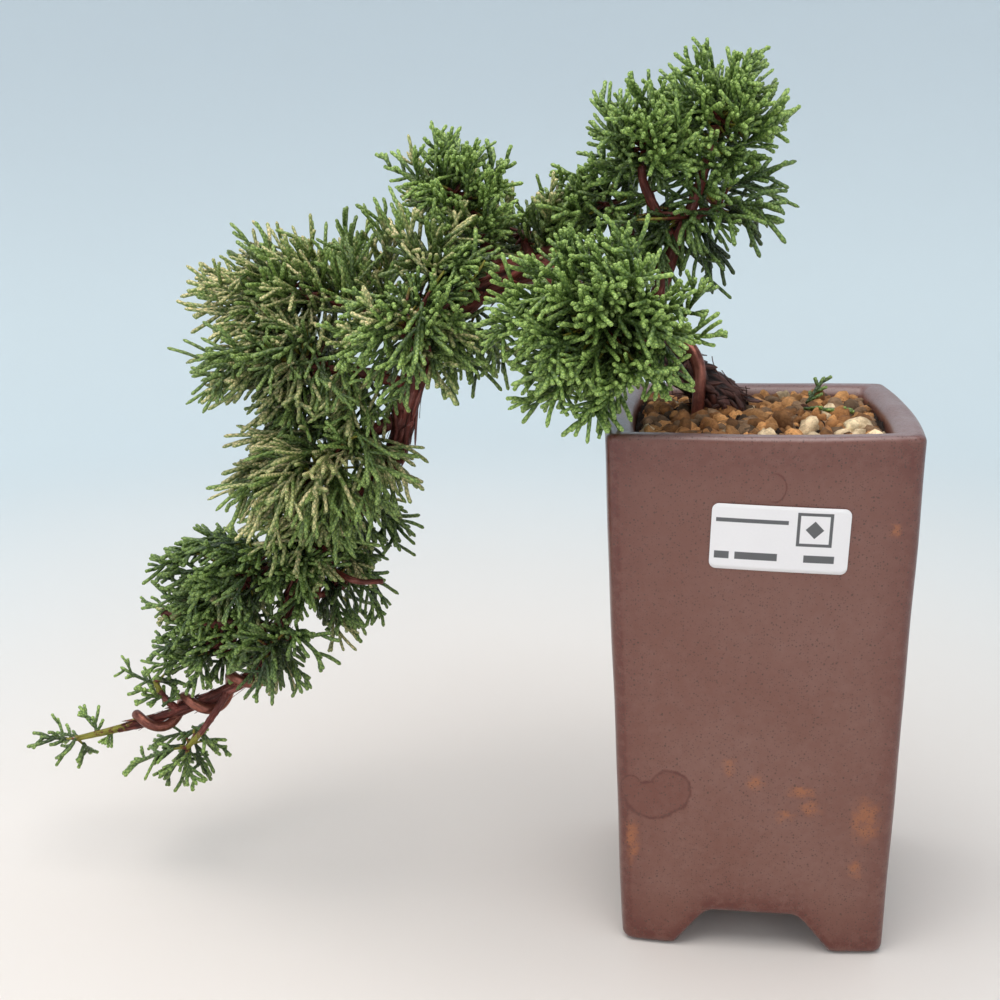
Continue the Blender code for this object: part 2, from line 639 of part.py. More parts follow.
def grain_mesh(name, halves, grow):
    """A blunt, broken grain: a sphere pushed in and out by smooth noise."""
    scale = loose_scale()
    shape = bmesh.new()
    bmesh.ops.create_icosphere(shape, subdivisions=2, radius=1)
    seed = Vector((len(name) * 1.7, halves[0], halves[1]))
    for vert in shape.verts:
        lump = scale * (1 + GRAIN_LUMPS * noise.noise(vert.co * GRAIN_LUMP_SCALE + seed))
        vert.co = Vector([co * (half * lump + grow) for co, half in zip(vert.co, halves)]) * MM
    return mesh_from_bmesh(name, shape)


def add_loose(name, place, halves, turn, finish):
    """A loose piece half sunk in the mix, and the room it needs there."""
    opening = (LOOSE_OPENING - max(halves)) * loose_scale()
    x, y = place[0] * opening, place[1] * opening
    z = float(soil_height(x, y)) + LOOSE_RISE * halves[2] * loose_scale()
    piece = add_part(name, grain_mesh(name, halves, 0), finish)
    room = add_cutter(name + "_room", grain_mesh(name, halves, GAP))
    for thing in (piece, room):
        thing.location = Vector((x, y, z)) * MM
        thing.rotation_euler.z = math.radians(turn)
    return room


def make_loose_pieces():
    """The coarse grains, the chip of bark and the fallen sprigs; gives back their rooms."""
    scale = loose_scale()
    rooms = []
    for name, (place, halves, turn) in GRAINS.items():
        finish = "pumice" if "cream" in name or "tan" in name else "potting_mix"
        rooms.append(add_loose(name, place, halves, turn, finish))
    rooms.append(add_loose("bark_chip", *BARK_CHIP, "bark"))
    for name, points in (("fallen_sprig_standing", SPRIG_STANDING), ("fallen_sprig_lying", SPRIG_LYING)):
        points = np.array(points) * scale
        base = float(soil_height(points[0][0], points[0][1]))
        route = smooth_route(points + (0, 0, base), 2)
        radii = [SPRIG_RADIUS * scale] * len(route)
        tube(name, route, radii, "foliage", TWIG_SIDES_LEVEL)
        rooms.append(grown_tube(name, route, radii, TWIG_SIDES_LEVEL))
    return rooms


# ---------------------------------------------------------------- label

def make_label():
    """A paper label: strips of a rounded rectangle laid on the bowed, leaning front face."""
    turn = np.linspace(0, 0.5 * math.pi, 4)
    corner_x = LABEL_WIDTH / 2 - LABEL_CORNER * (1 - np.sin(turn))
    corner_z = LABEL_HEIGHT / 2 - LABEL_CORNER * (1 - np.cos(turn))
    middle = np.linspace(-1, 1, 7)[1:-1] * corner_x[0]
    across = np.concatenate([-corner_x[::-1], middle, corner_x])
    half = np.concatenate([corner_z[::-1], np.full(len(middle), LABEL_HEIGHT / 2), corner_z])
    cosine, sine = math.cos(LABEL_TURN), math.sin(LABEL_TURN)
    shape = bmesh.new()
    rows = []
    for side in (-1, 1):
        x = LABEL_RIGHT_OF_MIDDLE + across * cosine - side * half * sine
        z = POT_HEIGHT - LABEL_BELOW_RIM + across * sine + side * half * cosine
        face = half_width(z)
        y = -(face + bow_at(x, face) + GAP)
        rows.append([shape.verts.new(Vector(place) * MM) for place in zip(x, y, z)])
    for i in range(len(across) - 1):
        shape.faces.new((rows[0][i], rows[0][i + 1], rows[1][i + 1], rows[1][i]))
    label = add_part("label", mesh_from_bmesh("label", shape), "paper")
    solid = label.modifiers.new("thickness", "SOLIDIFY")
    solid.thickness = LABEL_THICKNESS * MM
    solid.offset = 1


# ---------------------------------------------------------------- the whole plant

def stand_on_origin():
    """Hang every piece from one empty and put the middle of the footprint at the origin."""
    graph = bpy.context.evaluated_depsgraph_get()
    corners = []
    for piece in PARTS.objects:
        solid = piece.evaluated_get(graph)
        corners += [solid.matrix_world @ Vector(corner) for corner in solid.bound_box]
    corners = np.array(corners)
    middle = 0.5 * (corners.min(axis=0) + corners.max(axis=0))
    stand = bpy.data.objects.new("footprint_middle", None)
    CUTTERS.objects.link(stand)
    for piece in list(PARTS.objects) + list(CUTTERS.objects):
        if piece is not stand:
            piece.parent = stand
    stand.location = (-middle[0], -middle[1], -corners.min(axis=0)[2])


clear_scene()
PARTS = make_collection("bonsai_in_pot")
CUTTERS = make_collection("cutters")

make_pot()
make_drainage_mesh()
make_mesh_staple()
make_label()
trunk_room = make_trunk()
wire_rooms = make_wires()
branch_rooms = {name: make_branch(name, *branch, [trunk_room]) for name, branch in BRANCHES.items()}
for name, branch in GROWS_FROM_CROWN.items():
    branch_rooms[name] = make_branch(name, *branch, [branch_rooms["crown_branch"]])
make_foliage([trunk_room, *wire_rooms, *branch_rooms.values()])
loose_rooms = make_loose_pieces()
make_potting_mix([trunk_room, wire_rooms[0], *loose_rooms])
stand_on_origin()
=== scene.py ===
"""The looks of a cascading juniper in a tall, square, unglazed stoneware pot.

The packed model is the frame: it gives the place and the size of every piece. This file is laid
out as a Blender add-on, with one operator for each group of pieces, and is run as a script.
Shapes are worked out in millimetres from the middle of the pot's foot, in whole numpy arrays.
"""

import math

import bpy
import numpy as np
from mathutils import Matrix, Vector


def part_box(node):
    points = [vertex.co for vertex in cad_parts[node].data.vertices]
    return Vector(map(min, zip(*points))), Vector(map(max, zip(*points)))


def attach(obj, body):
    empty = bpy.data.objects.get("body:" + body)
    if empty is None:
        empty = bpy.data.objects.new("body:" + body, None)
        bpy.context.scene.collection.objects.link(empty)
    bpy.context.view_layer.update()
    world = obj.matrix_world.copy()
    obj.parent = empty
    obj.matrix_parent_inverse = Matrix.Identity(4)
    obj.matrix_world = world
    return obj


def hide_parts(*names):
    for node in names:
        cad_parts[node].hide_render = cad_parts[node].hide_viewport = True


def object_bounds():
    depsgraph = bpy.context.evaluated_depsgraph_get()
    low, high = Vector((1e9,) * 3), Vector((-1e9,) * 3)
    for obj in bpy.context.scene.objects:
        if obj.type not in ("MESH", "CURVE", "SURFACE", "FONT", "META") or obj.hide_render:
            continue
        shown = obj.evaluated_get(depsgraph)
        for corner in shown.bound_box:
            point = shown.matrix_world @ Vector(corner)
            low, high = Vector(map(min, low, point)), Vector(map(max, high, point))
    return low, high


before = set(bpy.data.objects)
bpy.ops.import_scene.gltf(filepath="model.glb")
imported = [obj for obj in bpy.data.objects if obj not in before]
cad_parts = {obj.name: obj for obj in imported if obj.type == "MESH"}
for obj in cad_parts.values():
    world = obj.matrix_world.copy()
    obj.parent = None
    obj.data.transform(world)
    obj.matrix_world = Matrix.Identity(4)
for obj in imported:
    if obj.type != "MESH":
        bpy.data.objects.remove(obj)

bl_info = {
    "name": "Potted Cascade Juniper",
    "version": (1, 0, 0),
    "blender": (4, 5, 0),
    "location": "3D View > Sidebar > Juniper",
    "description": "Builds the bark, foliage, stones, pot finish and studio of a potted juniper",
    "category": "Add Mesh",
}

MM = 0.001
CAD_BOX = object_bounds()
POT_LOW, POT_HIGH = (np.array(corner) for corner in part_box("pot"))
FOOT = np.array([*(0.5 * (POT_LOW + POT_HIGH))[:2], POT_LOW[2]])
POT_HEIGHT = (POT_HIGH[2] - POT_LOW[2]) / MM

# The pot, in millimetres
SIDE_BOW = 2.0
POT_TOP_HALF = 0.5 * (POT_HIGH[0] - POT_LOW[0]) / MM - SIDE_BOW
POT_BOTTOM_HALF = 0.9 * POT_TOP_HALF
CORNER_RADIUS = 4.0
RIM_WIDTH, WALL, FLOOR = 9.0, 7.0, 8.0
RIM_ROUND, RIM_INNER_ROUND, CAVITY_ROUND, FOOT_ROUND = 2.0, 4.5, 4.0, 2.5
FOOT_WALL = 9.0
ARCH_HEIGHT, ARCH_TOP_WIDTH, ARCH_BOTTOM_WIDTH, ARCH_ROUND = 13.0, 28.0, 49.0, 3.0
CEILING = ARCH_HEIGHT + 1.5
CAVITY_FLOOR = CEILING + FLOOR
DRAIN_RADIUS = 8.0
DRAIN_CHAMFER = 0.3
SOIL_BELOW_RIM = 3.0

# Marks on the pot's front: place across, height, half width and half height of each spot
BLOT = [(-31, 51, 8.5, 6.4), (-25.5, 54.5, 6.4, 7.0), (-37.5, 55, 3.4, 4.0)]
DRIP = [(3.2, 151.4, 3.4, 4.4)]
IRON_SPOTS = [(-8, 63.5, 1.8, 2.2), (0, 59, 2.4, 2.6), (9, 48, 2.0, 1.8), (17, 51, 2.4, 2.2),
              (33, 47, 3.4, 6.4), (31, 30, 2.0, 3.0), (-37, 36, 1.6, 7.0), (14, 56, 3.6, 1.2),
              (37, 139, 1.2, 1.8)]

# Specks in the clay: cells in a millimetre, size in a cell, how many as a share of the setting,
# how strongly they show, and their shade as a share of the clay's
SPECKS = [(0.85, 0.34, 1.1, 0.5, (1.9, 1.7, 1.6)), (1.5, 0.56, 1.4, 0.6, 0.4),
          (0.85, 0.46, 1.2, 0.75, 0.3), (0.34, 0.24, 0.6, 0.9, 0.14)]

# The potting mix: odds of each kind of grain, and the chip and sprigs that lie on it
GRAIN_KINDS = ("ochre", "brown", "grey", "cream")
CLAY_ODDS, PUMICE_ODDS = (0.38, 0.36, 0.26, 0.0), (0.0, 0.12, 0.0, 0.88)
CHIP_COLOUR = (70, 38, 28)
CHIP_SHAPE = (1.1, 0.8, 0.7)
SPRIGS = {   # where each end lies, above the mix, and how far the middle bends up
    "standing": ((16.6, 18.2, 0.4), (22.6, 22.4, 8.6), 0.06),
    "lying": ((14.5, 2.6, 1.4), (29.5, 1.2, 1.6), 0.04),
}
SPRIG_FINGER, SPRIG_DEPTH = 5.0, 0.7
SPRIG_STYLE = (0.85, 0.3, 0.15, 0.0, 0.5)

# The label: its corners, its lean, its middle, and the marks on it, from its own middle
LABEL_CORNER, LABEL_THICKNESS, LABEL_GAP = 2.0, 0.2, 0.3
LABEL_TURN = math.radians(-2.5)
LABEL_ACROSS, LABEL_BELOW_RIM = 5.0, 29.5
LABEL_BARS = [(-18.2, 2.2, 4.4, 5.6), (-18.2, -14.0, -6.6, -4.4), (-12.4, -0.4, -6.6, -4.4),
              (7.0, 15.6, -6.6, -4.4)]
LABEL_FRAME, LABEL_FRAME_INSIDE = (4.6, 14.6, -1.8, 8.2), (5.5, 13.7, -0.9, 7.3)
LABEL_DIAMOND, LABEL_DIAMOND_SIZE, PRINT_BLUR = (9.6, 3.2), 2.6, 0.08

# The studio, in metres, and the camera, turned by angles in radians
COVE_RADIUS, COVE_BEND, COVE_TOP, COVE_DROP = 1.3, 0.6, 2.8, 0.2
CAMERA_YAW, CAMERA_PITCH, CAMERA_ROLL = 0.151, 0.256, -0.027
CAMERA_PLACE = (-19.87, -410.44, 243.51)   # in millimetres

# The trunk: places along it from the middle of the rim, its thickness, and the wires on it
TRUNK_ROUTE = [
    (-1, 9, -26), (-5, 7, -11), (-11, 5, 1), (-21, 3, 10), (-33, 0, 18), (-45, 2, 24),
    (-56, 4, 34), (-68, 5, 43), (-80, 4, 41), (-92, 1, 34), (-103, -2, 24), (-110, -2, 7),
    (-117, 0, -15), (-133, 3, -35), (-149, 3, -53), (-158, 1, -71), (-166, 0, -89),
    (-180, 0, -101), (-205, 0, -112), (-223, 0, -118), (-241, 0, -123),
]
TRUNK_RADIUS, TRUNK_TIP_RADIUS, TRUNK_TAPER = 5.9, 0.9, 0.85
ROOT_FLARE, ROOT_FLARE_REACH = 2.6, 0.06
WIRE_GAP = 0.3
BARK_PATTERN_LENGTH = 357    # length of the bark's pattern from the root to the tip
COILS = {   # where the coil starts along the trunk, turns, pitch, first angle in turns, thickness
    "trunk_wire": (0.118, 1.3, 46.0, 0.06, 4.0),
    "tip_wire": (0.745, 3.15, 20.7, 0.1, 3.6),
}
WIRE_FOOT = [(-1.6, 0.9, -42.0), (-1.4, 0.7, -30.0), (-1.0, 0.3, -18.0), (-0.4, -0.2, -8.0)]

# Branches: places along each from the middle of the rim, then the radius at each end
BRANCHES = {
    "crown_branch": ([(-36, 2, 20), (-31, 3, 35), (-26, 3, 50), (-20, 4, 64), (-16, 6, 77),
                      (-13, 7, 88)], 2.8, 1.2),
    "front_branch": ([(-40, 1, 21), (-42, -12, 26), (-45, -28, 31)], 2.4, 1.3),
    "ridge_back_branch": ([(-70, 5, 43), (-73, 13, 49), (-76, 20, 54)], 2.2, 1.1),
    "ridge_branch": ([(-80, 4, 41), (-88, 9, 54), (-96, 12, 67)], 2.4, 1.1),
    "mid_branch": ([(-95, 0, 32), (-99, -6, 41), (-101, -9, 48)], 1.9, 1.1),
    "left_branch": ([(-101, -1, 26), (-120, 1, 31), (-137, 3, 34), (-154, 5, 37)], 2.8, 1.2),
    "centre_branch": ([(-106, -2, 16), (-106, -13, 22), (-106, -23, 26)], 2.2, 1.1),
    "centre_low_branch": ([(-98, -1, 29), (-95, 3, 25), (-92, 6, 20)], 1.6, 0.9),
    "left_low_branch": ([(-110, -2, 7), (-124, -7, 12), (-144, -10, 15)], 2.4, 1.1),
    "lower_strand": ([(-113, -1, -3), (-124, -5, -8), (-133, -9, -15), (-141, -13, -22)], 2.6, 1.2),
    "lower_back_branch": ([(-129, 2, -30), (-132, 11, -36), (-135, 17, -41)], 2.0, 1.1),
    "side_twig": ([(-149, 3, -53), (-141, 1, -57), (-131, -4, -59), (-122, -5, -58.5)], 1.5, 0.8),
    "low_left_branch": ([(-152, 3, -58), (-162, 0, -58), (-172, -3, -60)], 2.0, 1.0),
    "low_middle_branch": ([(-162, 0, -80), (-161, -7, -81), (-160, -13, -82)], 1.5, 0.9),
    "low_right_branch": ([(-155, 2, -66), (-149, 7, -68), (-144, 10, -68)], 1.8, 1.0),
    "cut_stub": ([(-161, 0, -78), (-174, -3, -76), (-187, -3, -75), (-203, 0, -73.5)], 1.9, 1.6),
    "tail_branch": ([(-169, 0, -93), (-177, -2, -88), (-186, -1, -87)], 1.8, 1.0),
    "tip_up_branch": ([(-201, 0, -110), (-205, -2, -104), (-208, -1, -99)], 1.5, 0.9),
    "tip_low_branch": ([(-181, 0, -101.5), (-184, -5, -107), (-189, -7, -114), (-197, -4, -123)],
                       1.4, 0.9),
    "crown_left_branch": ([(-26, 3, 50), (-32, 4, 61), (-36, 3, 71), (-35, 2, 80)], 2.0, 1.1),
    "crown_low_left_branch": ([(-29, 3, 42), (-39, 8, 54), (-48, 11, 63)], 1.9, 1.0),
    "crown_low_right_branch": ([(-23, 3.5, 57), (-17, 4, 60), (-12, 5, 61)], 1.6, 1.0),
}

# Foliage pads: the branch each grows on, the way its shoots lean, how far they droop (-) or turn
# up (+), shoot length as a share of the usual, then how flat, forked, warm, bronzed and fresh
# its sprays are, from 0 to 1, and how many there are as a share of the usual
PADS = {
    "crown_right": ("crown_branch", (-0.15, -0.15, 0.3), 0.05, 0.84, 0.2, 0.55, 0.55, 0.0, 0.7, 1.3),
    "crown_left": ("crown_left_branch", (-0.2, -0.15, 0.3), 0.05, 0.86, 0.2, 0.55, 0.55, 0.0, 0.7, 1.25),
    "crown_low_left": ("crown_low_left_branch", (-0.6, -0.2, 0.1), 0.0, 0.88, 0.3, 0.5, 0.4, 0.15,
                       0.6, 1.2),
    "crown_low_right": ("crown_low_right_branch", (0.7, -0.2, -0.1), -0.15, 1.15, 0.4, 0.25, 0.3,
                        0.0, 0.3, 0.8),
    "front": ("front_branch", (-0.25, -0.3, 0.05), -0.05, 0.98, 0.2, 0.4, 0.45, 0.0, 0.75, 1.2),
    "ridge": ("ridge_branch", (-0.2, -0.1, 0.35), 0.05, 0.84, 0.3, 0.55, 0.6, 0.1, 0.8, 1.25),
    "ridge_back": ("ridge_back_branch", (-0.1, 0.1, 0.4), 0.1, 1.0, 0.3, 0.4, 0.7, 0.3, 0.5, 1.0),
    "mid": ("mid_branch", (-0.1, -0.3, 0.4), 0.1, 1.15, 0.3, 0.3, 0.7, 0.4, 0.4, 0.85),
    "left_ridge": ("left_branch", (-0.3, -0.1, 0.95), 0.1, 1.35, 0.3, 0.2, 0.7, 0.6, 0.2, 0.8),
    "left_upper": ("left_branch", (-0.7, -0.2, 0.25), 0.0, 1.2, 0.3, 0.25, 0.7, 0.6, 0.4, 0.86),
    "left_lower": ("left_low_branch", (-0.55, -0.2, -0.45), -0.1, 1.15, 0.3, 0.3, 0.4, 0.4, 0.4, 0.86),
    "centre": ("centre_branch", (-0.3, -0.3, -0.3), -0.1, 0.9, 0.3, 0.6, 0.45, 0.12, 0.65, 1.0),
    "centre_low": ("centre_low_branch", (0.2, -0.1, -0.8), -0.2, 1.0, 0.3, 0.4, 0.4, 0.1, 0.5, 1.0),
    "lower": ("lower_strand", (-0.4, -0.25, -0.5), -0.25, 1.3, 0.4, 0.25, 0.6, 0.6, 0.4, 0.9),
    "lower_back": ("lower_back_branch", (0.1, 0.2, -0.5), -0.1, 1.0, 0.3, 0.4, 0.2, 0.1, 0.3, 1.0),
    "low_left": ("low_left_branch", (-0.6, -0.2, -0.45), -0.1, 0.85, 0.4, 0.6, 0.2, 0.08, 0.4, 1.15),
    "low_right": ("low_right_branch", (-0.1, -0.1, -0.8), -0.15, 0.9, 0.3, 0.4, 0.15, 0.08, 0.3, 1.0),
    "low_middle": ("low_middle_branch", (-0.3, -0.3, -0.7), -0.15, 0.95, 0.3, 0.5, 0.2, 0.1, 0.3, 1.1),
    "tail": ("tail_branch", (-0.6, -0.2, -0.3), -0.1, 0.75, 0.5, 0.8, 0.3, 0.05, 0.5, 1.1),
    "tip_upper": ("tip_up_branch", (-0.5, -0.1, 0.35), 0.1, 0.7, 0.9, 0.5, 0.45, 0.0, 0.7, 0.75),
    "tip_lower": ("tip_low_branch", (-0.3, -0.2, -0.4), -0.1, 0.7, 0.9, 0.5, 0.45, 0.0, 0.6, 0.7),
    "tip_end": ("trunk", (-0.7, -0.1, 0.0), 0.0, 0.7, 0.95, 0.4, 0.45, 0.0, 0.7, 0.45),
}

# More room for the sprays of some pads: middle from the middle of the rim, and half lengths
FILLS = {
    "ridge": [((-90, 4, 58), (14, 10, 10))],
    "ridge_back": [((-62, 10, 60), (13, 11, 12))],
    "low_left": [((-152, -4, -50), (14, 12, 12))],
    "tail": [((-188, 0, -72), (18, 12, 12))],
    "crown_low_right": [((-30, 2, 51), (14, 12, 12)), ((-11, 0, 41), (3, 3, 6))],
    "left_lower": [((-146, -8, -4), (19, 12, 12)), ((-125, -8, 1), (10, 9, 9))],
    "lower": [((-150, -8, -42), (14, 10, 12))],
    "centre": [((-92, -12, 44), (13, 9, 10))],
}

# Balls that sprays keep out of, so that the foot of the trunk and its wire show
CLEARINGS = [((-17, -25, 11), 19), ((-14, -2, 6), 16), ((-31, -32, 8), 13)]

# How finely the surfaces are divided
SIDE_STEPS, CORNER_STEPS = 36, 8
ROUTE_STEPS, CURVE_STEPS = 700, 24
TRUNK_RINGS, TRUNK_SIDES = 460, 44
STRIP_RINGS, STRIP_SIDES = 7, 4
BRANCH_RINGS, BRANCH_SIDES = 44, 12
WIRE_STEPS, WIRE_FOOT_RINGS, WIRE_SIDES = 40, 34, 18
TWIG_RINGS, TWIG_SIDES = 9, 5
CORD_RINGS, CORD_SIDES = 7, 6
COVE_SIDES = 96
NOISE_WAVES = 9
BLUNT_FROM = 0.94            # share of a cord's length where its end starts to round off
SCALE_PITCH = 1.5            # length of a turn of scale leaves
SPRAY_ROOM = 150             # room that one spray takes up, in cubic millimetres
MOST_FINGERS, FINGER_STEP = 10, 2.05
TWIG_RADIUS = 0.5


def linear(red, green, blue):
    """A colour's linear values from its 8-bit ones: the usual screen curve, undone."""
    share = np.array([red, green, blue]) / 255
    return tuple(float(x) for x in np.where(share <= 0.04045, share / 12.92,
                                            ((share + 0.055) / 1.055) ** 2.4))


# ---------------------------------------------------------------- settings

def colour_property(name, description, default):
    """A colour that a user can change."""
    return bpy.props.FloatVectorProperty(name=name, description=description, default=default,
                                         subtype="COLOR", size=3, min=0, max=1)


def length_property(name, description, millimetres):
    """A length that a user can change, kept in metres."""
    return bpy.props.FloatProperty(name=name, description=description, default=millimetres * MM,
                                   min=0, unit="LENGTH", precision=4)


def share_property(name, description, default):
    """A share, usually from 0 to 1, that a user can change."""
    return bpy.props.FloatProperty(name=name, description=description, default=default, min=0,
                                   soft_max=1, subtype="FACTOR")


class JuniperPotSettings(bpy.types.PropertyGroup):
    """Finish of the pot."""

    body: colour_property("Body", "Fired clay on the pot's sides", linear(118, 77, 65))
    edge: colour_property("Edge", "Redder clay on edges and feet", linear(94, 40, 30))
    # The rim colour goes on the rim's upward faces: partly the clay's own, partly a painted highlight
    rim: colour_property("Rim", "Paler, greyer clay on the rim", linear(134, 106, 104))
    stain: colour_property("Stain", "Iron stain on the front", linear(158, 94, 56))
    specks: share_property("Specks", "How many dark specks the clay shows", 0.62)
    warp: length_property("Warp", "How far the clay pulled out of true in the kiln", 0.18)


class JuniperSoilSettings(bpy.types.PropertyGroup):
    """The potting mix and its stones."""

    grain: length_property("Grain", "Half the usual length of a grain", 2.1)
    layers: bpy.props.IntProperty(name="Layers", description="Layers of loose grains", default=3,
                                  min=1, max=6)
    ochre: colour_property("Ochre", "Fired orange clay grain", linear(212, 156, 100))
    brown: colour_property("Brown", "Brown clay grain", linear(158, 110, 66))
    grey: colour_property("Grey", "Grey-brown grain", linear(138, 110, 84))
    cream: colour_property("Cream", "Pale pumice grain", linear(232, 208, 172))
    # Kept very dark: partly the mix's own colour, partly painted shade between the grains
    mix: colour_property("Mix", "Fine mix between the grains", linear(50, 30, 18))


class JuniperBarkSettings(bpy.types.PropertyGroup):
    """Bark on the trunk, its branches and twigs."""

    relief: length_property("Relief", "Depth of the bark's ridges", 0.95)
    flakes: bpy.props.IntProperty(name="Flakes", description="Peeling strips of bark on the trunk",
                                  default=520, min=0)
    old: colour_property("Old", "Dark, weathered bark at the root", linear(96, 54, 44))
    red: colour_property("Red", "Red inner bark", linear(134, 52, 36))
    grey: colour_property("Grey", "Dull skin of peeling strips", linear(170, 108, 98))
    green: colour_property("Green", "Young, green wood", linear(168, 160, 54))


class JuniperFoliageSettings(bpy.types.PropertyGroup):
    """The scale-leaved shoots."""

    thickness: length_property("Thickness", "Thickness of a shoot", 1.24)
    length: length_property("Length", "Usual length of a side shoot", 11.6)
    fullness: bpy.props.FloatProperty(name="Fullness", description="Sprays in each pad, as a share "
                                      "of the usual", default=1.0, min=0.1, soft_max=2)
    shade: colour_property("Shade", "Blue-green of old shoots", linear(62, 84, 42))
    leaf: colour_property("Leaf", "Green of most shoots", linear(132, 158, 76))
    fresh: colour_property("Fresh", "Yellow-green of growing tips", linear(184, 210, 112))
    bronze: colour_property("Bronze", "Cream and tan that the sun gives", linear(236, 214, 160))


class JuniperWireSettings(bpy.types.PropertyGroup):
    """The training wires."""

    bright: colour_property("Bright", "Worn, coppery wire", linear(168, 104, 86))
    dull: colour_property("Dull", "Dark brown anodised skin", linear(106, 60, 52))


class JuniperLabelSettings(bpy.types.PropertyGroup):
    """The paper label."""

    width: length_property("Width", "Across the label", 39.0)
    height: length_property("Height", "Height of the label", 19.5)
    paper: colour_property("Paper", "Coated paper", linear(238, 231, 230))
    ink: colour_property("Ink", "Plain printed marks", linear(52, 52, 54))


class JuniperStageSettings(bpy.types.PropertyGroup):
    """Studio, lights and camera."""

    floor: colour_property("Floor", "Pale floor", linear(229, 219, 212))
    haze: colour_property("Haze", "Foot of the backdrop", linear(223, 233, 237))
    wall: colour_property("Wall", "Upper part of the backdrop", linear(208, 217, 223))
    key: bpy.props.FloatProperty(name="Key", description="Power of the overhead light", default=11.9,
                                 min=0, unit="POWER")
    fill: bpy.props.FloatProperty(name="Fill", description="Power of the front light", default=3.8,
                                  min=0, unit="POWER")
    ambient: share_property("Ambient", "Strength of the light from all round", 0.53)
    lens: bpy.props.FloatProperty(name="Lens", description="Focal length on a 36 mm sensor, in "
                                  "millimetres", default=46.954, min=10)


SETTINGS = {
    "juniper_pot": JuniperPotSettings,
    "juniper_soil": JuniperSoilSettings,
    "juniper_bark": JuniperBarkSettings,
    "juniper_foliage": JuniperFoliageSettings,
    "juniper_wire": JuniperWireSettings,
    "juniper_label": JuniperLabelSettings,
    "juniper_stage": JuniperStageSettings,
}


# ---------------------------------------------------------------- arrays of points

def unit(vectors):
    """Each vector divided by its own length."""
    return vectors / np.maximum(np.linalg.norm(vectors, axis=-1, keepdims=True), 1e-12)


def square_to(vectors, way):
    """Unit vectors at right angles to way: each vector without its part along way."""
    return unit(vectors - (vectors * way).sum(-1, keepdims=True) * way)


def ripples(points, wavelength, seed):
    """Smooth noise, mostly within -1 to 1: a sum of sine waves that run in random directions."""
    rng = np.random.default_rng(seed)
    ways = unit(rng.normal(size=(NOISE_WAVES, 3))) * rng.uniform(0.6, 1.5, (NOISE_WAVES, 1))
    phases = rng.uniform(0, 2 * math.pi, NOISE_WAVES)
    waves = np.sin(points @ ways.T * (2 * math.pi / wavelength) + phases)
    return waves.sum(-1) / math.sqrt(NOISE_WAVES)


def from_rim(points):
    """Places given from the middle of the rim, as millimetres from the middle of the foot."""
    return np.asarray(points, dtype=float) + (0, 0, POT_HEIGHT)


def box_of(node):
    """A node's middle and half lengths, in millimetres from the middle of the pot's foot."""
    low, high = (np.array(corner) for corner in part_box(node))
    return ((low + high) / 2 - FOOT) / MM, (high - low) / 2 / MM


def smooth_route(points, count):
    """count places at even distances along a Catmull-Rom curve through the points."""
    points = np.asarray(points, dtype=float)
    held = np.vstack([2 * points[0] - points[1], points, 2 * points[-1] - points[-2]])
    a, b, c, d = (held[i:len(held) - 3 + i, None] for i in range(4))
    t = np.linspace(0, 1, CURVE_STEPS, endpoint=False)[None, :, None]
    curve = 0.5 * (2 * b + (c - a) * t + (2 * a - 5 * b + 4 * c - d) * t ** 2
                   + (3 * b - 3 * c + d - a) * t ** 3)
    curve = np.vstack([curve.reshape(-1, 3), points[-1:]])
    share = length_shares(curve)
    even = np.linspace(0, 1, count)
    return np.column_stack([np.interp(even, share, curve[:, i]) for i in range(3)])


def length_shares(route):
    """How far along a route each of its points lies, from 0 to 1."""
    steps = np.linalg.norm(np.diff(route, axis=0), axis=1)
    along = np.concatenate([[0], np.cumsum(steps)])
    return along / along[-1]


def tube_rings(paths, face, wide, thick, sides):
    """Rings of points along many paths at once.

    paths is (tubes, rings, 3). Each ring is an ellipse square to its path: half as wide as wide
    across face, and half as thick as thick along face.
    """
    along = unit(np.gradient(paths, axis=1))
    up = square_to(np.broadcast_to(face, paths.shape), along)
    side = np.cross(up, along)
    angle = np.arange(sides) * 2 * math.pi / sides
    wide, thick = (np.broadcast_to(size, paths.shape[:2])[..., None, None] for size in (wide, thick))
    return (paths[:, :, None] + np.cos(angle)[:, None] * wide * side[:, :, None]
            + np.sin(angle)[:, None] * thick * up[:, :, None])


def grid_faces(rows, columns, copies=1, round_rows=False, round_columns=True):
    """Quads between neighbours on a grid of rows and columns, for copies grids in turn."""
    row = np.arange(rows if round_rows else rows - 1)[:, None]
    column = np.arange(columns if round_columns else columns - 1)[None]
    next_row, next_column = (row + 1) % rows, (column + 1) % columns
    quads = np.stack([row * columns + column, row * columns + next_column,
                      next_row * columns + next_column, next_row * columns + column], axis=-1)
    first = np.arange(copies)[:, None, None] * rows * columns
    return (quads.reshape(1, -1, 4) + first).reshape(-1, 4)


def lengthwise_map(faces, rings, sides, across, length):
    """A map for tube faces: across millimetres round the tube and length millimetres along it."""
    ring = faces // sides % rings
    column = faces % sides
    wraps = (column[:, [1, 2]] == 0) & (column[:, [0, 3]] == sides - 1)
    column = column.astype(float)
    column[:, [1, 2]] += wraps * sides
    places = np.stack([column / sides * across, ring / (rings - 1) * length], -1)
    return places.reshape(-1, 2)


def end_faces(rows, columns, copies=1):
    """The flat faces that close each tube of a set: the first ring turned round, then the last."""
    first = np.arange(copies)[:, None] * rows * columns
    ring = np.arange(columns)[None]
    return np.vstack([first + ring[:, ::-1], first + (rows - 1) * columns + ring])


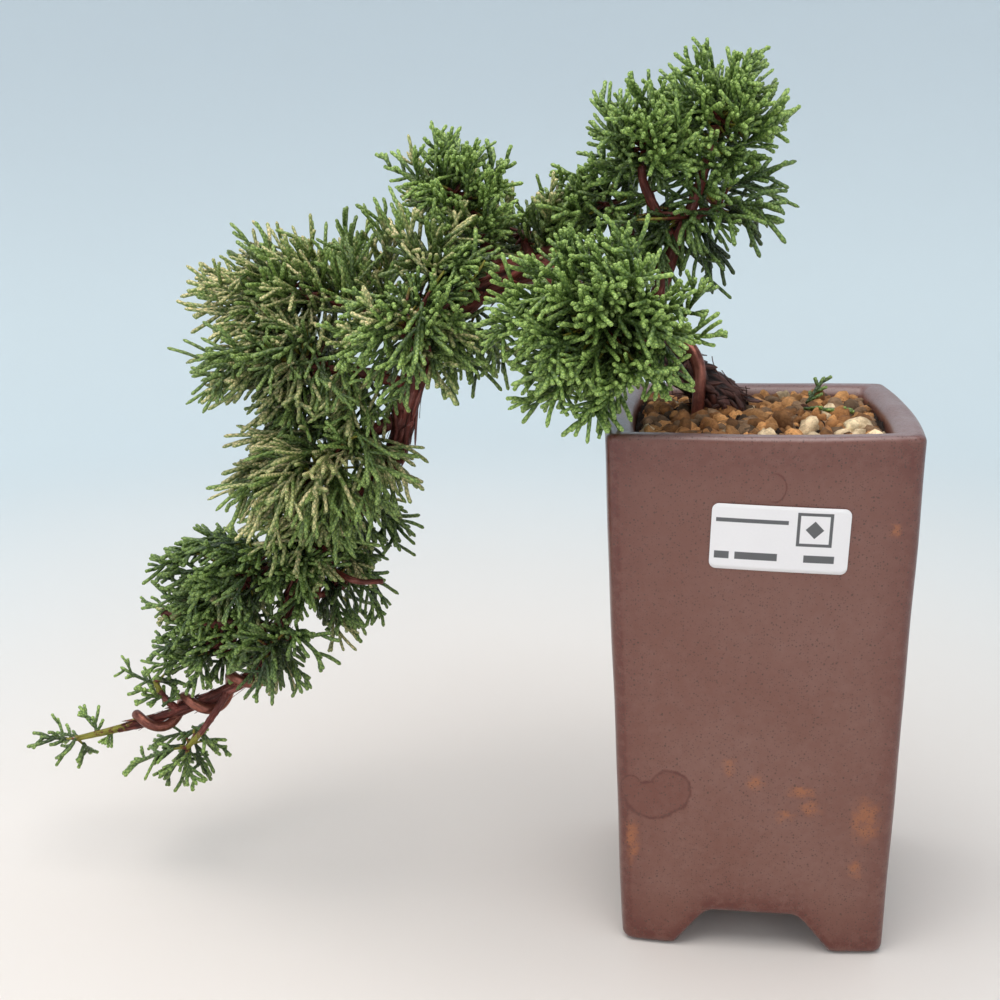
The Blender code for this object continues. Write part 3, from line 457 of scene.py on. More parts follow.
def add_piece(name, points, faces, material, marks=None, maps=None, sharp=None):
    """Make an object from points in millimetres and a list of face arrays.

    marks gives values for each point and maps gives a place for each face corner.
    """
    points = np.asarray(points, dtype=float).reshape(-1, 3)
    mesh = bpy.data.meshes.new(name)
    mesh.vertices.add(len(points))
    mesh.vertices.foreach_set("co", (FOOT + points * MM).astype(np.float32).ravel())
    corners = np.concatenate([group.ravel() for group in faces])
    sizes = np.concatenate([np.full(len(group), group.shape[1]) for group in faces])
    mesh.loops.add(len(corners))
    mesh.loops.foreach_set("vertex_index", corners.astype(np.int32))
    mesh.polygons.add(len(sizes))
    starts = np.concatenate([[0], np.cumsum(sizes)[:-1]])
    mesh.polygons.foreach_set("loop_start", starts.astype(np.int32))
    mesh.update(calc_edges=True)
    for mark, values in (marks or {}).items():
        values = np.asarray(values, dtype=np.float32).reshape(len(points), -1)
        kind, field = ("FLOAT", "value") if values.shape[1] == 1 else ("FLOAT_VECTOR", "vector")
        mesh.attributes.new(mark, kind, "POINT").data.foreach_set(field, values.ravel())
    for layer, places in (maps or {}).items():
        places = np.asarray(places, dtype=np.float32)
        missing = len(corners) - len(places)
        places = np.vstack([places, np.repeat(places[-1:], missing, axis=0)])
        mesh.uv_layers.new(name=layer).uv.foreach_set("vector", places.ravel())
    mesh.shade_smooth()
    if sharp:
        mesh.set_sharp_from_angle(angle=math.radians(sharp))
    mesh.materials.append(material)
    piece = bpy.data.objects.new(name, mesh)
    bpy.context.scene.collection.objects.link(piece)
    return piece


def add_tubes(name, tubes, material, marks, across, length, shift=0.0, sharp=None):
    """Make an object from points by tube, ring and side, with both ends of each tube closed.

    The map "grain" is across millimetres round a tube and length millimetres along it, moved by
    each tube's own shift.
    """
    copies, rings, sides = tubes.shape[:3]
    faces = grid_faces(rings, sides, copies=copies)
    flow = lengthwise_map(faces, rings, sides, across, length)
    flow = flow + np.repeat(np.broadcast_to(shift, (copies, 2)), (rings - 1) * sides * 4, axis=0)
    return add_piece(name, tubes, [faces, end_faces(rings, sides, copies)], material, marks,
                     {"grain": flow}, sharp)


def settle(piece, slot, *nodes):
    """Fasten a piece to the model's one body and hide the nodes it stands for."""
    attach(piece, "root")
    if nodes:
        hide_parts(*nodes)


# ---------------------------------------------------------------- node trees

class Paint:
    """A node tree being filled in. Each call adds a node and returns one of its outputs."""

    def __init__(self, tree):
        self.tree = tree
        self.count = 0

    def node(self, kind, inputs=None, out=0, **settings):
        made = self.tree.nodes.new("ShaderNode" + kind)
        made.location = (self.count % 12 * 180, -(self.count // 12) * 220)
        self.count += 1
        for key, value in settings.items():
            setattr(made, key, value)
        for key, value in (inputs or {}).items():
            if isinstance(value, bpy.types.NodeSocket):
                self.tree.links.new(value, made.inputs[key])
            else:
                made.inputs[key].default_value = value
        return made.outputs[out]

    def math(self, operation, first, second=0.0, clamp=False):
        return self.node("Math", {0: first, 1: second}, operation=operation, use_clamp=clamp)

    def ramp(self, value, low, high, start=0.0, end=1.0):
        """start where value is low or less, end where it is high or more, and between them."""
        return self.node("MapRange", {"Value": value, "From Min": low, "From Max": high,
                                      "To Min": start, "To Max": end},
                         interpolation_type="SMOOTHSTEP")

    def mix(self, share, first, second, blend="MIX"):
        first, second = ((*c, 1.0) if isinstance(c, tuple) and len(c) == 3 else c
                         for c in (first, second))
        made = self.node("Mix", {"Factor": share}, data_type="RGBA", blend_type=blend).node
        for socket, value in ((made.inputs[6], first), (made.inputs[7], second)):
            if isinstance(value, bpy.types.NodeSocket):
                self.tree.links.new(value, socket)
            else:
                socket.default_value = value
        return made.outputs[2]

    def cover(self, base, mask, strength, tint):
        """The base with a tint over it where a mask times its strength lets it show."""
        return self.mix(self.math("MULTIPLY", mask, strength), base, tint)

    def shade(self, base, share):
        """The base made lighter or darker: times a share, or times a share for each channel."""
        if isinstance(share, bpy.types.NodeSocket):
            share = self.node("CombineColor", {0: share, 1: share, 2: share})
        return self.mix(1.0, base, share, blend="MULTIPLY")

    def split(self, vector, count=3):
        """The first parts of a vector: x, y and z."""
        return [self.node("SeparateXYZ", {0: vector}, out=i) for i in range(count)]

    def place(self):
        """Object coordinates, in millimetres from the middle of the pot's foot."""
        return self.node("Mapping", {"Vector": self.node("TexCoord", out="Object"),
                                     "Location": [float(-f / MM) for f in FOOT],
                                     "Scale": [1 / MM] * 3})

    def noise(self, vector, scale, detail=3.0, rough=0.55, out=0):
        return self.node("TexNoise", {"Vector": vector, "Scale": scale, "Detail": detail,
                                      "Roughness": rough}, out=out)

    def group(self, tree, inputs, out=0):
        return self.node("Group", inputs, out=out, node_tree=tree)

    def mottle(self, vector, broad, fine):
        return self.group(mottle_group(), {"Vector": vector, "Broad": broad, "Fine": fine})

    def specks(self, vector, density, size, amount):
        return self.group(speckle_group(), {"Vector": vector, "Density": density, "Size": size,
                                            "Amount": amount})

    def fibres(self, vector, across, along):
        return self.group(fibre_group(), {"Vector": vector, "Across": across, "Along": along})

    def bump(self, height, distance, strength):
        """A normal from a height, whose full depth is a distance in millimetres."""
        return self.node("Bump", {"Height": height, "Distance": distance * MM,
                                  "Strength": strength}, out="Normal")


def shared_group(name, sockets, fill):
    """A node group with named inputs and outputs, made once. fill links its outputs."""
    tree = bpy.data.node_groups.get(name)
    if tree is None:
        tree = bpy.data.node_groups.new(name, "ShaderNodeTree")
        for socket, (way, kind, default) in sockets.items():
            made = tree.interface.new_socket(name=socket, in_out=way, socket_type="NodeSocket" + kind)
            if default is not None:
                made.default_value = default
        paint = Paint(tree)
        entry = tree.nodes.new("NodeGroupInput")
        leave = tree.nodes.new("NodeGroupOutput")
        for socket, output in fill(paint, entry.outputs).items():
            tree.links.new(output, leave.inputs[socket])
    return tree


def speckle_group():
    """Round specks: near a random point of a cell, where the cell's own chance allows one."""
    def fill(paint, given):
        cells = {"Vector": given["Vector"], "Scale": given["Density"]}
        apart = paint.node("TexVoronoi", cells, out="Distance")
        chance = paint.node("SeparateColor", {0: paint.node("TexVoronoi", cells, out="Color")})
        size = paint.math("MULTIPLY", paint.math("SUBTRACT", given["Amount"], chance, clamp=True),
                          given["Size"])
        edge = paint.math("DIVIDE", apart, paint.math("MAXIMUM", size, 0.0001))
        return {"Mask": paint.ramp(edge, 0.6, 1.0, 1.0, 0.0)}

    return shared_group("Specks", {
        "Vector": ("INPUT", "Vector", None),
        "Density": ("INPUT", "Float", 1.0),
        "Size": ("INPUT", "Float", 0.8),
        "Amount": ("INPUT", "Float", 0.5),
        "Mask": ("OUTPUT", "Float", None),
    }, fill)


def mottle_group():
    """Uneven tone: broad and fine noise added together, spread out round one half."""
    def fill(paint, given):
        broad = paint.noise(given["Vector"], given["Broad"], 2.0)
        fine = paint.noise(given["Vector"], given["Fine"], 4.0, 0.65)
        both = paint.math("ADD", paint.math("MULTIPLY", broad, 0.6), paint.math("MULTIPLY", fine, 0.4))
        return {"Tone": paint.ramp(both, 0.32, 0.68)}

    return shared_group("Mottle", {
        "Vector": ("INPUT", "Vector", None),
        "Broad": ("INPUT", "Float", 0.05),
        "Fine": ("INPUT", "Float", 0.5),
        "Tone": ("OUTPUT", "Float", None),
    }, fill)


def fibre_group():
    """Lengthwise fibres: noise that is stretched along the second axis of its map."""
    def fill(paint, given):
        stretch = paint.node("CombineXYZ", {"X": given["Across"], "Y": given["Along"], "Z": 1.0})
        stretched = paint.node("VectorMath", {0: given["Vector"], 1: stretch}, operation="MULTIPLY")
        return {"Height": paint.noise(stretched, 1.0, 5.0, 0.6)}

    return shared_group("Fibres", {
        "Vector": ("INPUT", "Vector", None),
        "Across": ("INPUT", "Float", 1.0),
        "Along": ("INPUT", "Float", 0.1),
        "Height": ("OUTPUT", "Float", None),
    }, fill)


def new_material(name):
    """An empty material with a Principled shader, and the paint that fills its tree."""
    material = bpy.data.materials.new(name)
    material.use_nodes = True
    shader = material.node_tree.nodes["Principled BSDF"]
    shader.location = (2400, 0)
    return material, shader, Paint(material.node_tree)


def connect(paint, shader, **sockets):
    """Link outputs to the shader's sockets, or set plain values on them."""
    for key, value in sockets.items():
        socket = shader.inputs[key.replace("_", " ").title() if key != "IOR" else key]
        if isinstance(value, bpy.types.NodeSocket):
            paint.tree.links.new(value, socket)
        else:
            socket.default_value = value


def colour(settings, name):
    """A colour from the settings, as three plain numbers."""
    return tuple(getattr(settings, name))


def toned(tint, share):
    """A colour made lighter or darker: times a share, or times a share for each channel."""
    return tuple(float(x) for x in np.minimum(np.array(tuple(tint)) * share, 1.0))


# ---------------------------------------------------------------- pot

def pot_half_width(height):
    """Half the pot's outer width at a height: a straight taper from the feet to the rim."""
    return POT_BOTTOM_HALF + (POT_TOP_HALF - POT_BOTTOM_HALF) * height / POT_HEIGHT


def pot_bow(along, half):
    """How far a side stands out at a distance along it: a parabola that ends at the corners."""
    return SIDE_BOW * (1 - np.minimum(np.abs(along) / (half - CORNER_RADIUS), 1) ** 2)


def cavity_inset(height):
    """Thickness of the wall inside the pot, growing evenly from the floor to the rim."""
    share = (height - CAVITY_FLOOR) / (POT_HEIGHT - CAVITY_FLOOR)
    return WALL + (RIM_WIDTH - WALL) * share


def bowed_square(inset, height):
    """Points round the pot's bowed square, moved in from its outer face by inset.

    inset and height are arrays of rows by columns, or one value for each row. A column is a share
    of a side, or an angle on the quarter circle that joins it to the next side.
    """
    share = np.concatenate([np.linspace(-1, 1, SIDE_STEPS + 1), np.ones(CORNER_STEPS - 1)])
    turn = np.concatenate([np.zeros(SIDE_STEPS + 1),
                           np.linspace(0, 0.5 * math.pi, CORNER_STEPS + 1)[1:-1]])
    share, turn = np.tile(share, 4), np.tile(turn, 4)
    corner = turn > 0
    half = pot_half_width(height) - inset
    radius = np.maximum(CORNER_RADIUS - inset, 0.6 * CORNER_RADIUS)
    along = np.where(corner, half - radius + radius * np.sin(turn), share * (half - radius))
    bow = pot_bow(np.where(corner, half, along), half + CORNER_RADIUS - radius)
    out = np.where(corner, half - radius + radius * np.cos(turn), half + bow)
    quarter = np.repeat(np.arange(4), len(share) // 4) * 0.5 * math.pi
    x = along * np.cos(quarter) + out * np.sin(quarter)
    y = along * np.sin(quarter) - out * np.cos(quarter)
    return x, y, along


def arch_lift(along):
    """Height of the pot's lower edge: nothing at the feet, a slope, and the arch's flat top.

    It is the smooth minimum of the arch's height and of a slope from the foot's inner edge.
    """
    slope = ARCH_HEIGHT / (0.5 * (ARCH_BOTTOM_WIDTH - ARCH_TOP_WIDTH))
    rise = slope * (0.5 * ARCH_BOTTOM_WIDTH - np.abs(along))
    share = np.clip(0.5 + 0.5 * (rise - ARCH_HEIGHT) / ARCH_ROUND, 0, 1)
    lift = rise + (ARCH_HEIGHT - rise) * share - ARCH_ROUND * share * (1 - share)
    soft = 1.2
    foot = np.clip(0.5 + 0.5 * lift / soft, 0, 1)
    return lift * foot + soft * foot * (1 - foot)


def quarter_round(first, last, steps, leaves="across"):
    """Pairs along a quarter round from one (inset, height) to another, without its first."""
    turn = np.linspace(0, 0.5 * math.pi, steps + 1)[1:]
    fast, slow = np.sin(turn), 1 - np.cos(turn)
    if leaves == "up":
        fast, slow = slow, fast
    return [(first[0] + (last[0] - first[0]) * a, first[1] + (last[1] - first[1]) * b)
            for a, b in zip(fast, slow)]


def pot_rows():
    """The pot's section as rows of inset, height, arch share and circle share.

    It runs from the drain hole's upper edge down through the hole, over the ceiling to the feet,
    under them, up the outside, over the rim and down the cavity, back to the hole. The arch share
    is how far a row follows the arches, and the circle share how far it follows the hole.
    """
    def section(pairs, arch=(0, 0), circle=(0, 0)):
        pairs = np.array(pairs, dtype=float)
        arch = np.linspace(*arch, len(pairs))
        circle = np.linspace(*circle, len(pairs))
        return np.column_stack([pairs, arch, circle])

    def line(first, last, count):
        return np.linspace(first, last, count)

    low_round = FOOT_WALL - 1.0
    rim_in = POT_HEIGHT - RIM_INNER_ROUND
    rim_start = (0, POT_HEIGHT - RIM_ROUND)
    rim_flat = (RIM_WIDTH - RIM_INNER_ROUND, POT_HEIGHT)
    deep = CAVITY_FLOOR + CAVITY_ROUND
    return np.vstack([
        section([(0, CAVITY_FLOOR - 0.3), (0, CAVITY_FLOOR - 1), (0, CEILING + 1),
                 (0, CEILING + 0.3)], circle=(1, 1)),
        section(line((FOOT_WALL + 1, CEILING), (FOOT_WALL + 1, CEILING), 9), circle=(1, 0)),
        section(line((FOOT_WALL, CEILING - 1), (FOOT_WALL, 1.0), 7), arch=(0.07, 1)),
        section(quarter_round((FOOT_WALL, 1.0), (low_round, 0), 3, "up"), arch=(1, 1)),
        section(line((low_round - 0.5, 0), (FOOT_ROUND, 0), 4), arch=(1, 1)),
        section(quarter_round((FOOT_ROUND, 0), (0, FOOT_ROUND), 6), arch=(1, 1)),
        section(line((0, FOOT_ROUND + 1.2), rim_start, 118), arch=(0.99, 0)),
        section(quarter_round(rim_start, (RIM_ROUND, POT_HEIGHT), 7, "up")),
        section(line((RIM_ROUND + 0.6, POT_HEIGHT), rim_flat, 4)),
        section(quarter_round(rim_flat, (cavity_inset(rim_in), rim_in), 7)),
        section(line((cavity_inset(rim_in - 1), rim_in - 1), (cavity_inset(deep), deep), 30)),
        section(quarter_round((cavity_inset(deep), deep), (WALL + CAVITY_ROUND, CAVITY_FLOOR), 5,
                              "up")),
        section(line((WALL + CAVITY_ROUND + 2, CAVITY_FLOOR),
                     (WALL + CAVITY_ROUND + 2, CAVITY_FLOOR), 9), circle=(0, 1)),
    ])


def pot_surface(warp):
    """The whole pot as one closed grid, and how near each point is to an edge, from 0 to 1.

    A row's point is the bowed square at its inset, lifted by its share of the arch, then moved
    towards the drain hole's circle by its circle share. Kiln warp is smooth noise along x and y.
    """
    inset, level, arch, circle = (column[:, None] for column in pot_rows().T)
    _, _, along = bowed_square(inset, level)
    height = level + arch * arch_lift(along)
    x, y, along = bowed_square(inset, height)
    angle = np.arctan2(y, x)
    at_edge = np.abs(level - (CEILING + CAVITY_FLOOR) / 2) > FLOOR / 2 - 0.5
    hole = DRAIN_RADIUS + DRAIN_CHAMFER * at_edge
    x = x + (hole * np.cos(angle) - x) * circle
    y = y + (hole * np.sin(angle) - y) * circle
    points = np.stack([x, y, height + np.zeros_like(x)], axis=-1)
    points[..., :2] += warp * np.stack([ripples(points, 46.0, 3), ripples(points, 52.0, 4)], -1)
    rim_dip = ripples(points * (1, 1, 0), 70.0, 5) * warp * 1.5
    points[..., 2] += np.where(level > POT_HEIGHT - 3, rim_dip, 0)
    above = height - arch_lift(along)
    from_corner = pot_half_width(height) - np.abs(along)
    lower_edge = np.exp(-(above / 3.6) ** 2) + 0.75 * np.exp(-(above / 9.0) ** 2)
    corner = 0.4 * np.exp(-(from_corner / 2.2) ** 2) + 0.5 * np.exp(-(from_corner / 8.0) ** 2)
    band = 0.4 * np.exp(-((POT_HEIGHT - height - 6) / 6.0) ** 2)
    edge = np.clip(lower_edge + corner + band, 0, 1) * (inset < 3)
    return points, edge


def stain_mask(paint, spots, softness, wobble):
    """Two masks for spots on the pot's front: one inside them, and one along their outline.

    Noise moves the place by wobble millimetres. The first mask fades out over softness.
    """
    where = paint.place()
    moved = paint.node("VectorMath", {0: paint.noise(where, 0.3, 4.0, 0.65, out="Color"),
                                      1: (0.5, 0.5, 0.5)}, operation="SUBTRACT")
    where = paint.node("VectorMath", {0: moved, 1: (wobble * 2,) * 3, 2: where},
                       operation="MULTIPLY_ADD")
    nearest = None
    for x, height, half_width, half_height in spots:
        from_spot = paint.node("VectorMath", {0: where, 1: (x, 0, height)}, operation="SUBTRACT")
        shares = paint.node("VectorMath", {0: from_spot, 1: (1 / half_width, 0, 1 / half_height)},
                            operation="MULTIPLY")
        apart = paint.node("VectorMath", {0: shares}, out="Value", operation="LENGTH")
        nearest = apart if nearest is None else paint.math("MINIMUM", nearest, apart)
    front = paint.ramp(paint.node("SeparateXYZ", {0: where}, out="Y"), -32, -30, 1.0, 0.0)
    inside = paint.ramp(nearest, 1 - softness, 1 + softness, 1.0, 0.0)
    from_outline = paint.math("ABSOLUTE", paint.math("SUBTRACT", nearest, 0.96))
    outline = paint.ramp(from_outline, 0.0, 0.14, 1.0, 0.0)
    return paint.math("MULTIPLY", inside, front), paint.math("MULTIPLY", outline, front)


def stoneware(settings):
    """Mauve-brown fired clay: specks, iron stains, redder edges and a greyer rim, partly a painted
    highlight.
    """
    material, shader, paint = new_material("stoneware")
    where = paint.place()
    tone, fine = paint.mottle(where, 0.03, 0.3), paint.mottle(where, 0.35, 2.2)
    body, edge_colour = colour(settings, "body"), colour(settings, "edge")
    deep = toned(body, (0.92, 0.78, 0.72))
    base = paint.mix(tone, deep, toned(body, (1.13, 1.22, 1.28)))
    base = paint.cover(base, fine, 0.4, deep)

    # Redder towards the corners, the top and the feet
    across, depth, height = paint.split(where)
    cornered = paint.math("MINIMUM", paint.math("ABSOLUTE", across), paint.math("ABSOLUTE", depth))
    cornered = paint.ramp(cornered, 0.66 * POT_TOP_HALF, 0.99 * POT_TOP_HALF)
    upper = paint.ramp(height, 0.45 * POT_HEIGHT, POT_HEIGHT)
    lower = paint.ramp(height, ARCH_HEIGHT, 1.7 * ARCH_HEIGHT, 0.75, 0.0)
    redness = paint.math("ADD", paint.math("MULTIPLY", cornered, 0.6),
                         paint.math("MULTIPLY", upper, 0.45))
    redness = paint.math("ADD", redness, lower, clamp=True)
    base = paint.cover(base, redness, paint.ramp(tone, 0, 1, 0.55, 1.0), deep)

    # The rim's upward faces made paler and greyer, partly the clay and partly a painted highlight, then
    # the worn edges
    upward = paint.split(paint.node("NewGeometry", out="Normal"))[2]
    rim = paint.math("MULTIPLY", paint.ramp(upward, 0.2, 0.9),
                     paint.ramp(height, POT_HEIGHT - 4, POT_HEIGHT - 1))
    base = paint.cover(base, rim, 0.75, colour(settings, "rim"))
    edge = paint.node("Attribute", attribute_name="edge", out="Fac")
    base = paint.cover(base, edge, paint.ramp(fine, 0.0, 0.8, 0.3, 1.0), edge_colour)

    # The blot, the drip over the label and the iron spots
    blot, blot_rim = stain_mask(paint, BLOT, 0.06, 1.0)
    base = paint.cover(base, blot, paint.ramp(fine, 0, 1, 0.55, 1.0),
                       toned(body, (0.82, 0.58, 0.52)))
    base = paint.cover(base, blot_rim, paint.ramp(fine, 0, 1, 0.5, 1.0), toned(edge_colour, 0.85))
    _, drip = stain_mask(paint, DRIP, 0.3, 0.8)
    drip = paint.math("MULTIPLY", drip, paint.ramp(across, 1.0, 4.5))
    base = paint.cover(base, drip, 0.85, edge_colour)
    iron, _ = stain_mask(paint, IRON_SPOTS, 0.6, 3.4)
    base = paint.cover(base, iron, paint.ramp(fine, 0.1, 0.8, 0.2, 0.75), colour(settings, "stain"))

    for density, size, amount, strength, share in SPECKS:
        specks = paint.specks(where, density, size, settings.specks * amount)
        base = paint.cover(base, specks, strength, toned(body, share))
    relief = paint.math("SUBTRACT", paint.noise(where, 1.6, 4.0, 0.6),
                        paint.math("MULTIPLY", specks, 0.6))
    connect(paint, shader, base_color=base, roughness=paint.ramp(tone, 0, 1, 0.3, 0.42),
            normal=paint.bump(relief, 0.16, 0.6), coat_weight=0.25, coat_roughness=0.22)
    return material


# ---------------------------------------------------------------- soil and stones

def soil_height(x, y):
    """Top of the mix: level below the rim, with a mound round the trunk's foot and soft waves."""
    root_x, root_y = TRUNK_ROUTE[2][:2]
    away = np.hypot(x - root_x, y - root_y)
    uneven = np.sin(x * 0.45 + 1.3) * np.sin(y * 0.52 - 0.4) + 0.5 * np.sin(x * 0.9 + y * 0.7)
    return POT_HEIGHT - SOIL_BELOW_RIM + 2.6 * np.exp(-(away / 13) ** 2) + 0.5 * uneven


def mix_surface():
    """The bed of fine mix as a closed grid: in from the cavity's wall to the middle of its top.

    Rows run out over the bottom, up the wall, then shrink to the middle, where noise raises the
    crumbs between the loose grains.
    """
    top, low = POT_HEIGHT - SOIL_BELOW_RIM - 5.0, CAVITY_FLOOR + 4.6

    def ring(height):
        x, y, _ = bowed_square(np.array([[cavity_inset(height) + 0.35]]), np.array([[height]]))
        return np.stack([x[0], y[0], np.full(x.shape[1], height)], -1)

    rows = [ring(low) * (share, share, 1) for share in np.linspace(0.02, 0.96, 6)]
    rows += [ring(height) for height in np.linspace(low + 0.5, top, 8)]
    edge = rows[-1]
    for share in np.concatenate([np.linspace(1, 0.06, 74), [0.02]]):
        flat = edge * (share, share, 0)
        crumbs = np.abs(ripples(flat, 4.2, 11)) * 1.5 + np.abs(ripples(flat, 1.9, 12)) * 0.5
        flat[:, 2] = soil_height(flat[:, 0], flat[:, 1]) - 2.6 + crumbs
        rows.append(flat)
    return np.array(rows)


def block_sphere(cuts):
    """Points and quads of a cube whose faces have cuts by cuts squares, blown up to a ball."""
    line = np.linspace(-1, 1, cuts + 1)
    u, v = np.meshgrid(line, line, indexing="ij")
    one = np.ones_like(u)
    flats = [(u, v, one), (v, u, -one), (one, u, v), (-one, v, u), (v, one, u), (u, -one, v)]
    points = np.concatenate([np.stack(flat, -1).reshape(-1, 3) for flat in flats])
    faces = grid_faces(cuts + 1, cuts + 1, copies=6, round_columns=False)
    _, first, which = np.unique(np.round(points, 5), axis=0, return_index=True,
                                return_inverse=True)
    points = points[first]
    faces = which.ravel()[faces]
    middle = points[faces].mean(axis=1)
    normal = np.cross(points[faces[:, 1]] - points[faces[:, 0]],
                      points[faces[:, 3]] - points[faces[:, 0]])
    inward = (normal * middle).sum(axis=1) < 0
    faces[inward] = faces[inward][:, ::-1]
    return points / np.linalg.norm(points, axis=1, keepdims=True) ** 0.85, faces


def random_turns(rng, count):
    """count random turns, as 3 by 3 matrices, from random unit quaternions."""
    w, x, y, z = unit(rng.normal(size=(count, 4))).T
    return np.stack([
        1 - 2 * (y * y + z * z), 2 * (x * y - z * w), 2 * (x * z + y * w),
        2 * (x * y + z * w), 1 - 2 * (x * x + z * z), 2 * (y * z - x * w),
        2 * (x * z - y * w), 2 * (y * z + x * w), 1 - 2 * (x * x + y * y)], -1).reshape(-1, 3, 3)


def grain_points(middles, sizes, rng, cuts=3):
    """Blunt broken grains: balls with their own half lengths, dented by noise, then turned."""
    ball, faces = block_sphere(cuts)
    count = len(middles)
    shift = rng.uniform(-40, 40, (count, 1, 3))
    dents = 1 + 0.24 * ripples(ball + shift, 2.6, 21)[..., None]
    chips = 1 + 0.11 * ripples(ball + shift, 1.1, 22)[..., None]
    points = ball[None] * dents * chips * sizes[:, None]
    points = np.einsum("nij,nkj->nki", random_turns(rng, count), points)
    faces = (faces[None] + np.arange(count)[:, None, None] * len(ball)).reshape(-1, 4)
    return points + middles[:, None], faces


def scatter_grains(settings):
    """Places, half lengths, painted shade and kind of every loose grain.

    Each layer is a square grid of places moved at random, kept inside the rim, and lower layers
    fill the gaps of the layer above them.
    """
    rng = np.random.default_rng(5)
    size = settings.grain / MM
    opening = pot_half_width(POT_HEIGHT) - RIM_WIDTH - 0.6
    places, sizes, painted_shades = [], [], []
    for layer in range(settings.layers):
        step = size * (1.84 - 0.12 * layer)
        line = np.arange(-opening, opening, step) + 0.5 * step * (layer % 2)
        x, y = (grid.ravel() for grid in np.meshgrid(line, line))
        x, y = (value + rng.uniform(-0.42, 0.42, len(x)) * step for value in (x, y))
        grain = size * np.exp(rng.normal(0, 0.24, (len(x), 1)))
        halves = grain * rng.uniform(0.58, 1.38, (len(x), 3))
        reach = opening - 0.85 * halves.max(axis=1)
        x, y = np.clip(x, -reach, reach), np.clip(y, -reach, reach)
        z = soil_height(x, y) - 0.5 * size - layer * 0.9 * size
        z = z + rng.uniform(-0.3, 0.35, len(x)) * size
        places.append(np.column_stack([x, y, z]))
        sizes.append(halves)
        # Painted shade: each lower layer is darkened, standing in for the shadow in the gaps between
        # grains
        painted_shades.append(np.full(len(x), 0.4 ** layer))
    places, sizes, painted_shades = np.vstack(places), np.vstack(sizes), np.concatenate(painted_shades)
    x, y = places[:, 0], places[:, 1]
    pale_chance = 0.06 + 0.75 * np.exp(-((x - 24) / 15) ** 2 - ((y + 32) / 7) ** 2)
    pale = rng.uniform(size=len(x)) < pale_chance
    return places, sizes, painted_shades, pale, rng


def fixed_grains(names):
    """Middles and half lengths of the grains that the model places one by one."""
    boxes = [box_of(name) for name in names]
    return np.array([box[0] for box in boxes]), np.array([box[1] for box in boxes])


def tint_marks(choices, colours, painted_shades, count, rng):
    """Each grain's own colour for all its points, a little lighter or darker than its kind, times its
    painted shade.
    """
    tints = np.array(colours)[choices] * rng.uniform(0.6, 1.35, (len(choices), 1)) * painted_shades[:, None]
    return np.repeat(tints.clip(0, 1), count, axis=0)


def grain_material(name, roughness):
    """Porous grains: each one's own tint, darkened by painted shade in lower layers, with darker pits
    and lighter, dusty high spots.
    """
    material, shader, paint = new_material(name)
    tint = paint.node("Attribute", attribute_name="tint", out="Color")
    where = paint.place()
    pits = paint.specks(where, 1.5, 0.8, 0.6)
    darker = paint.shade(tint, (0.6, 0.54, 0.48))
    base = paint.mix(paint.mottle(where, 0.35, 1.6), darker, paint.shade(tint, (1.28, 1.24, 1.2)))
    base = paint.cover(base, pits, 0.6, darker)
    relief = paint.math("SUBTRACT", paint.noise(where, 1.8, 6.0, 0.7),
                        paint.math("MULTIPLY", pits, 0.35))
    connect(paint, shader, base_color=base, roughness=roughness, normal=paint.bump(relief, 0.7, 0.9))
    return material


def refinish(node, material):
    """Give a piece that the model shows as it is a finish of its own."""
    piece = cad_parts[node]
    piece.data.materials.clear()
    piece.data.materials.append(material)


def drain_mesh_material():
    """Dark green moulded plastic, dusty with fine mix."""
    material, shader, paint = new_material("moulded_mesh")
    where = paint.place()
    dust = paint.ramp(paint.noise(where, 0.9, 4.0), 0.45, 0.7)
    base = paint.cover(linear(30, 42, 32), dust, 0.6, linear(110, 80, 54))
    connect(paint, shader, base_color=base, roughness=paint.ramp(dust, 0, 1, 0.42, 0.85),
            normal=paint.bump(paint.noise(where, 2.4, 3.0), 0.05, 0.6))
    return material


def staple_material():
    """Dull aluminium wire, with brown bloom where it stays damp."""
    material, shader, paint = new_material("aluminium_wire")
    where = paint.place()
    bloom = paint.ramp(paint.noise(where, 0.7, 4.0), 0.45, 0.65)
    base = paint.cover(linear(176, 176, 178), bloom, 0.5, linear(120, 98, 80))
    connect(paint, shader, base_color=base, roughness=paint.ramp(bloom, 0, 1, 0.35, 0.7),
            metallic=0.9, normal=paint.bump(paint.noise(where, 3.0, 3.0), 0.04, 0.6))
    return material


def mix_material(settings):
    """Crumbs of clay and bark, kept dark as painted shade between the grains: a darker and a lighter
    brown by noise, with brown specks.
    """
    material, shader, paint = new_material("fine_mix")
    where = paint.place()
    crumb = colour(settings, "mix")
    # Painted shade: both browns stay very dark, for the shade between the grains
    base = paint.mix(paint.mottle(where, 0.3, 1.2), toned(crumb, 0.3), crumb)
    base = paint.cover(base, paint.specks(where, 0.8, 0.9, 0.5), 0.6, colour(settings, "brown"))
    connect(paint, shader, base_color=base, roughness=0.95,
            normal=paint.bump(paint.noise(where, 1.2, 6.0, 0.7), 1.0, 1.0))
    return material


# ---------------------------------------------------------------- trunk, branches and wires

def trunk_radius(share):
    """The trunk's radius: a taper to the tip, and a flare that dies out above the root."""
    taper = TRUNK_TIP_RADIUS + (TRUNK_RADIUS - TRUNK_TIP_RADIUS) * (1 - share) ** TRUNK_TAPER
    return taper + ROOT_FLARE * np.exp(-(share / ROOT_FLARE_REACH) ** 2)


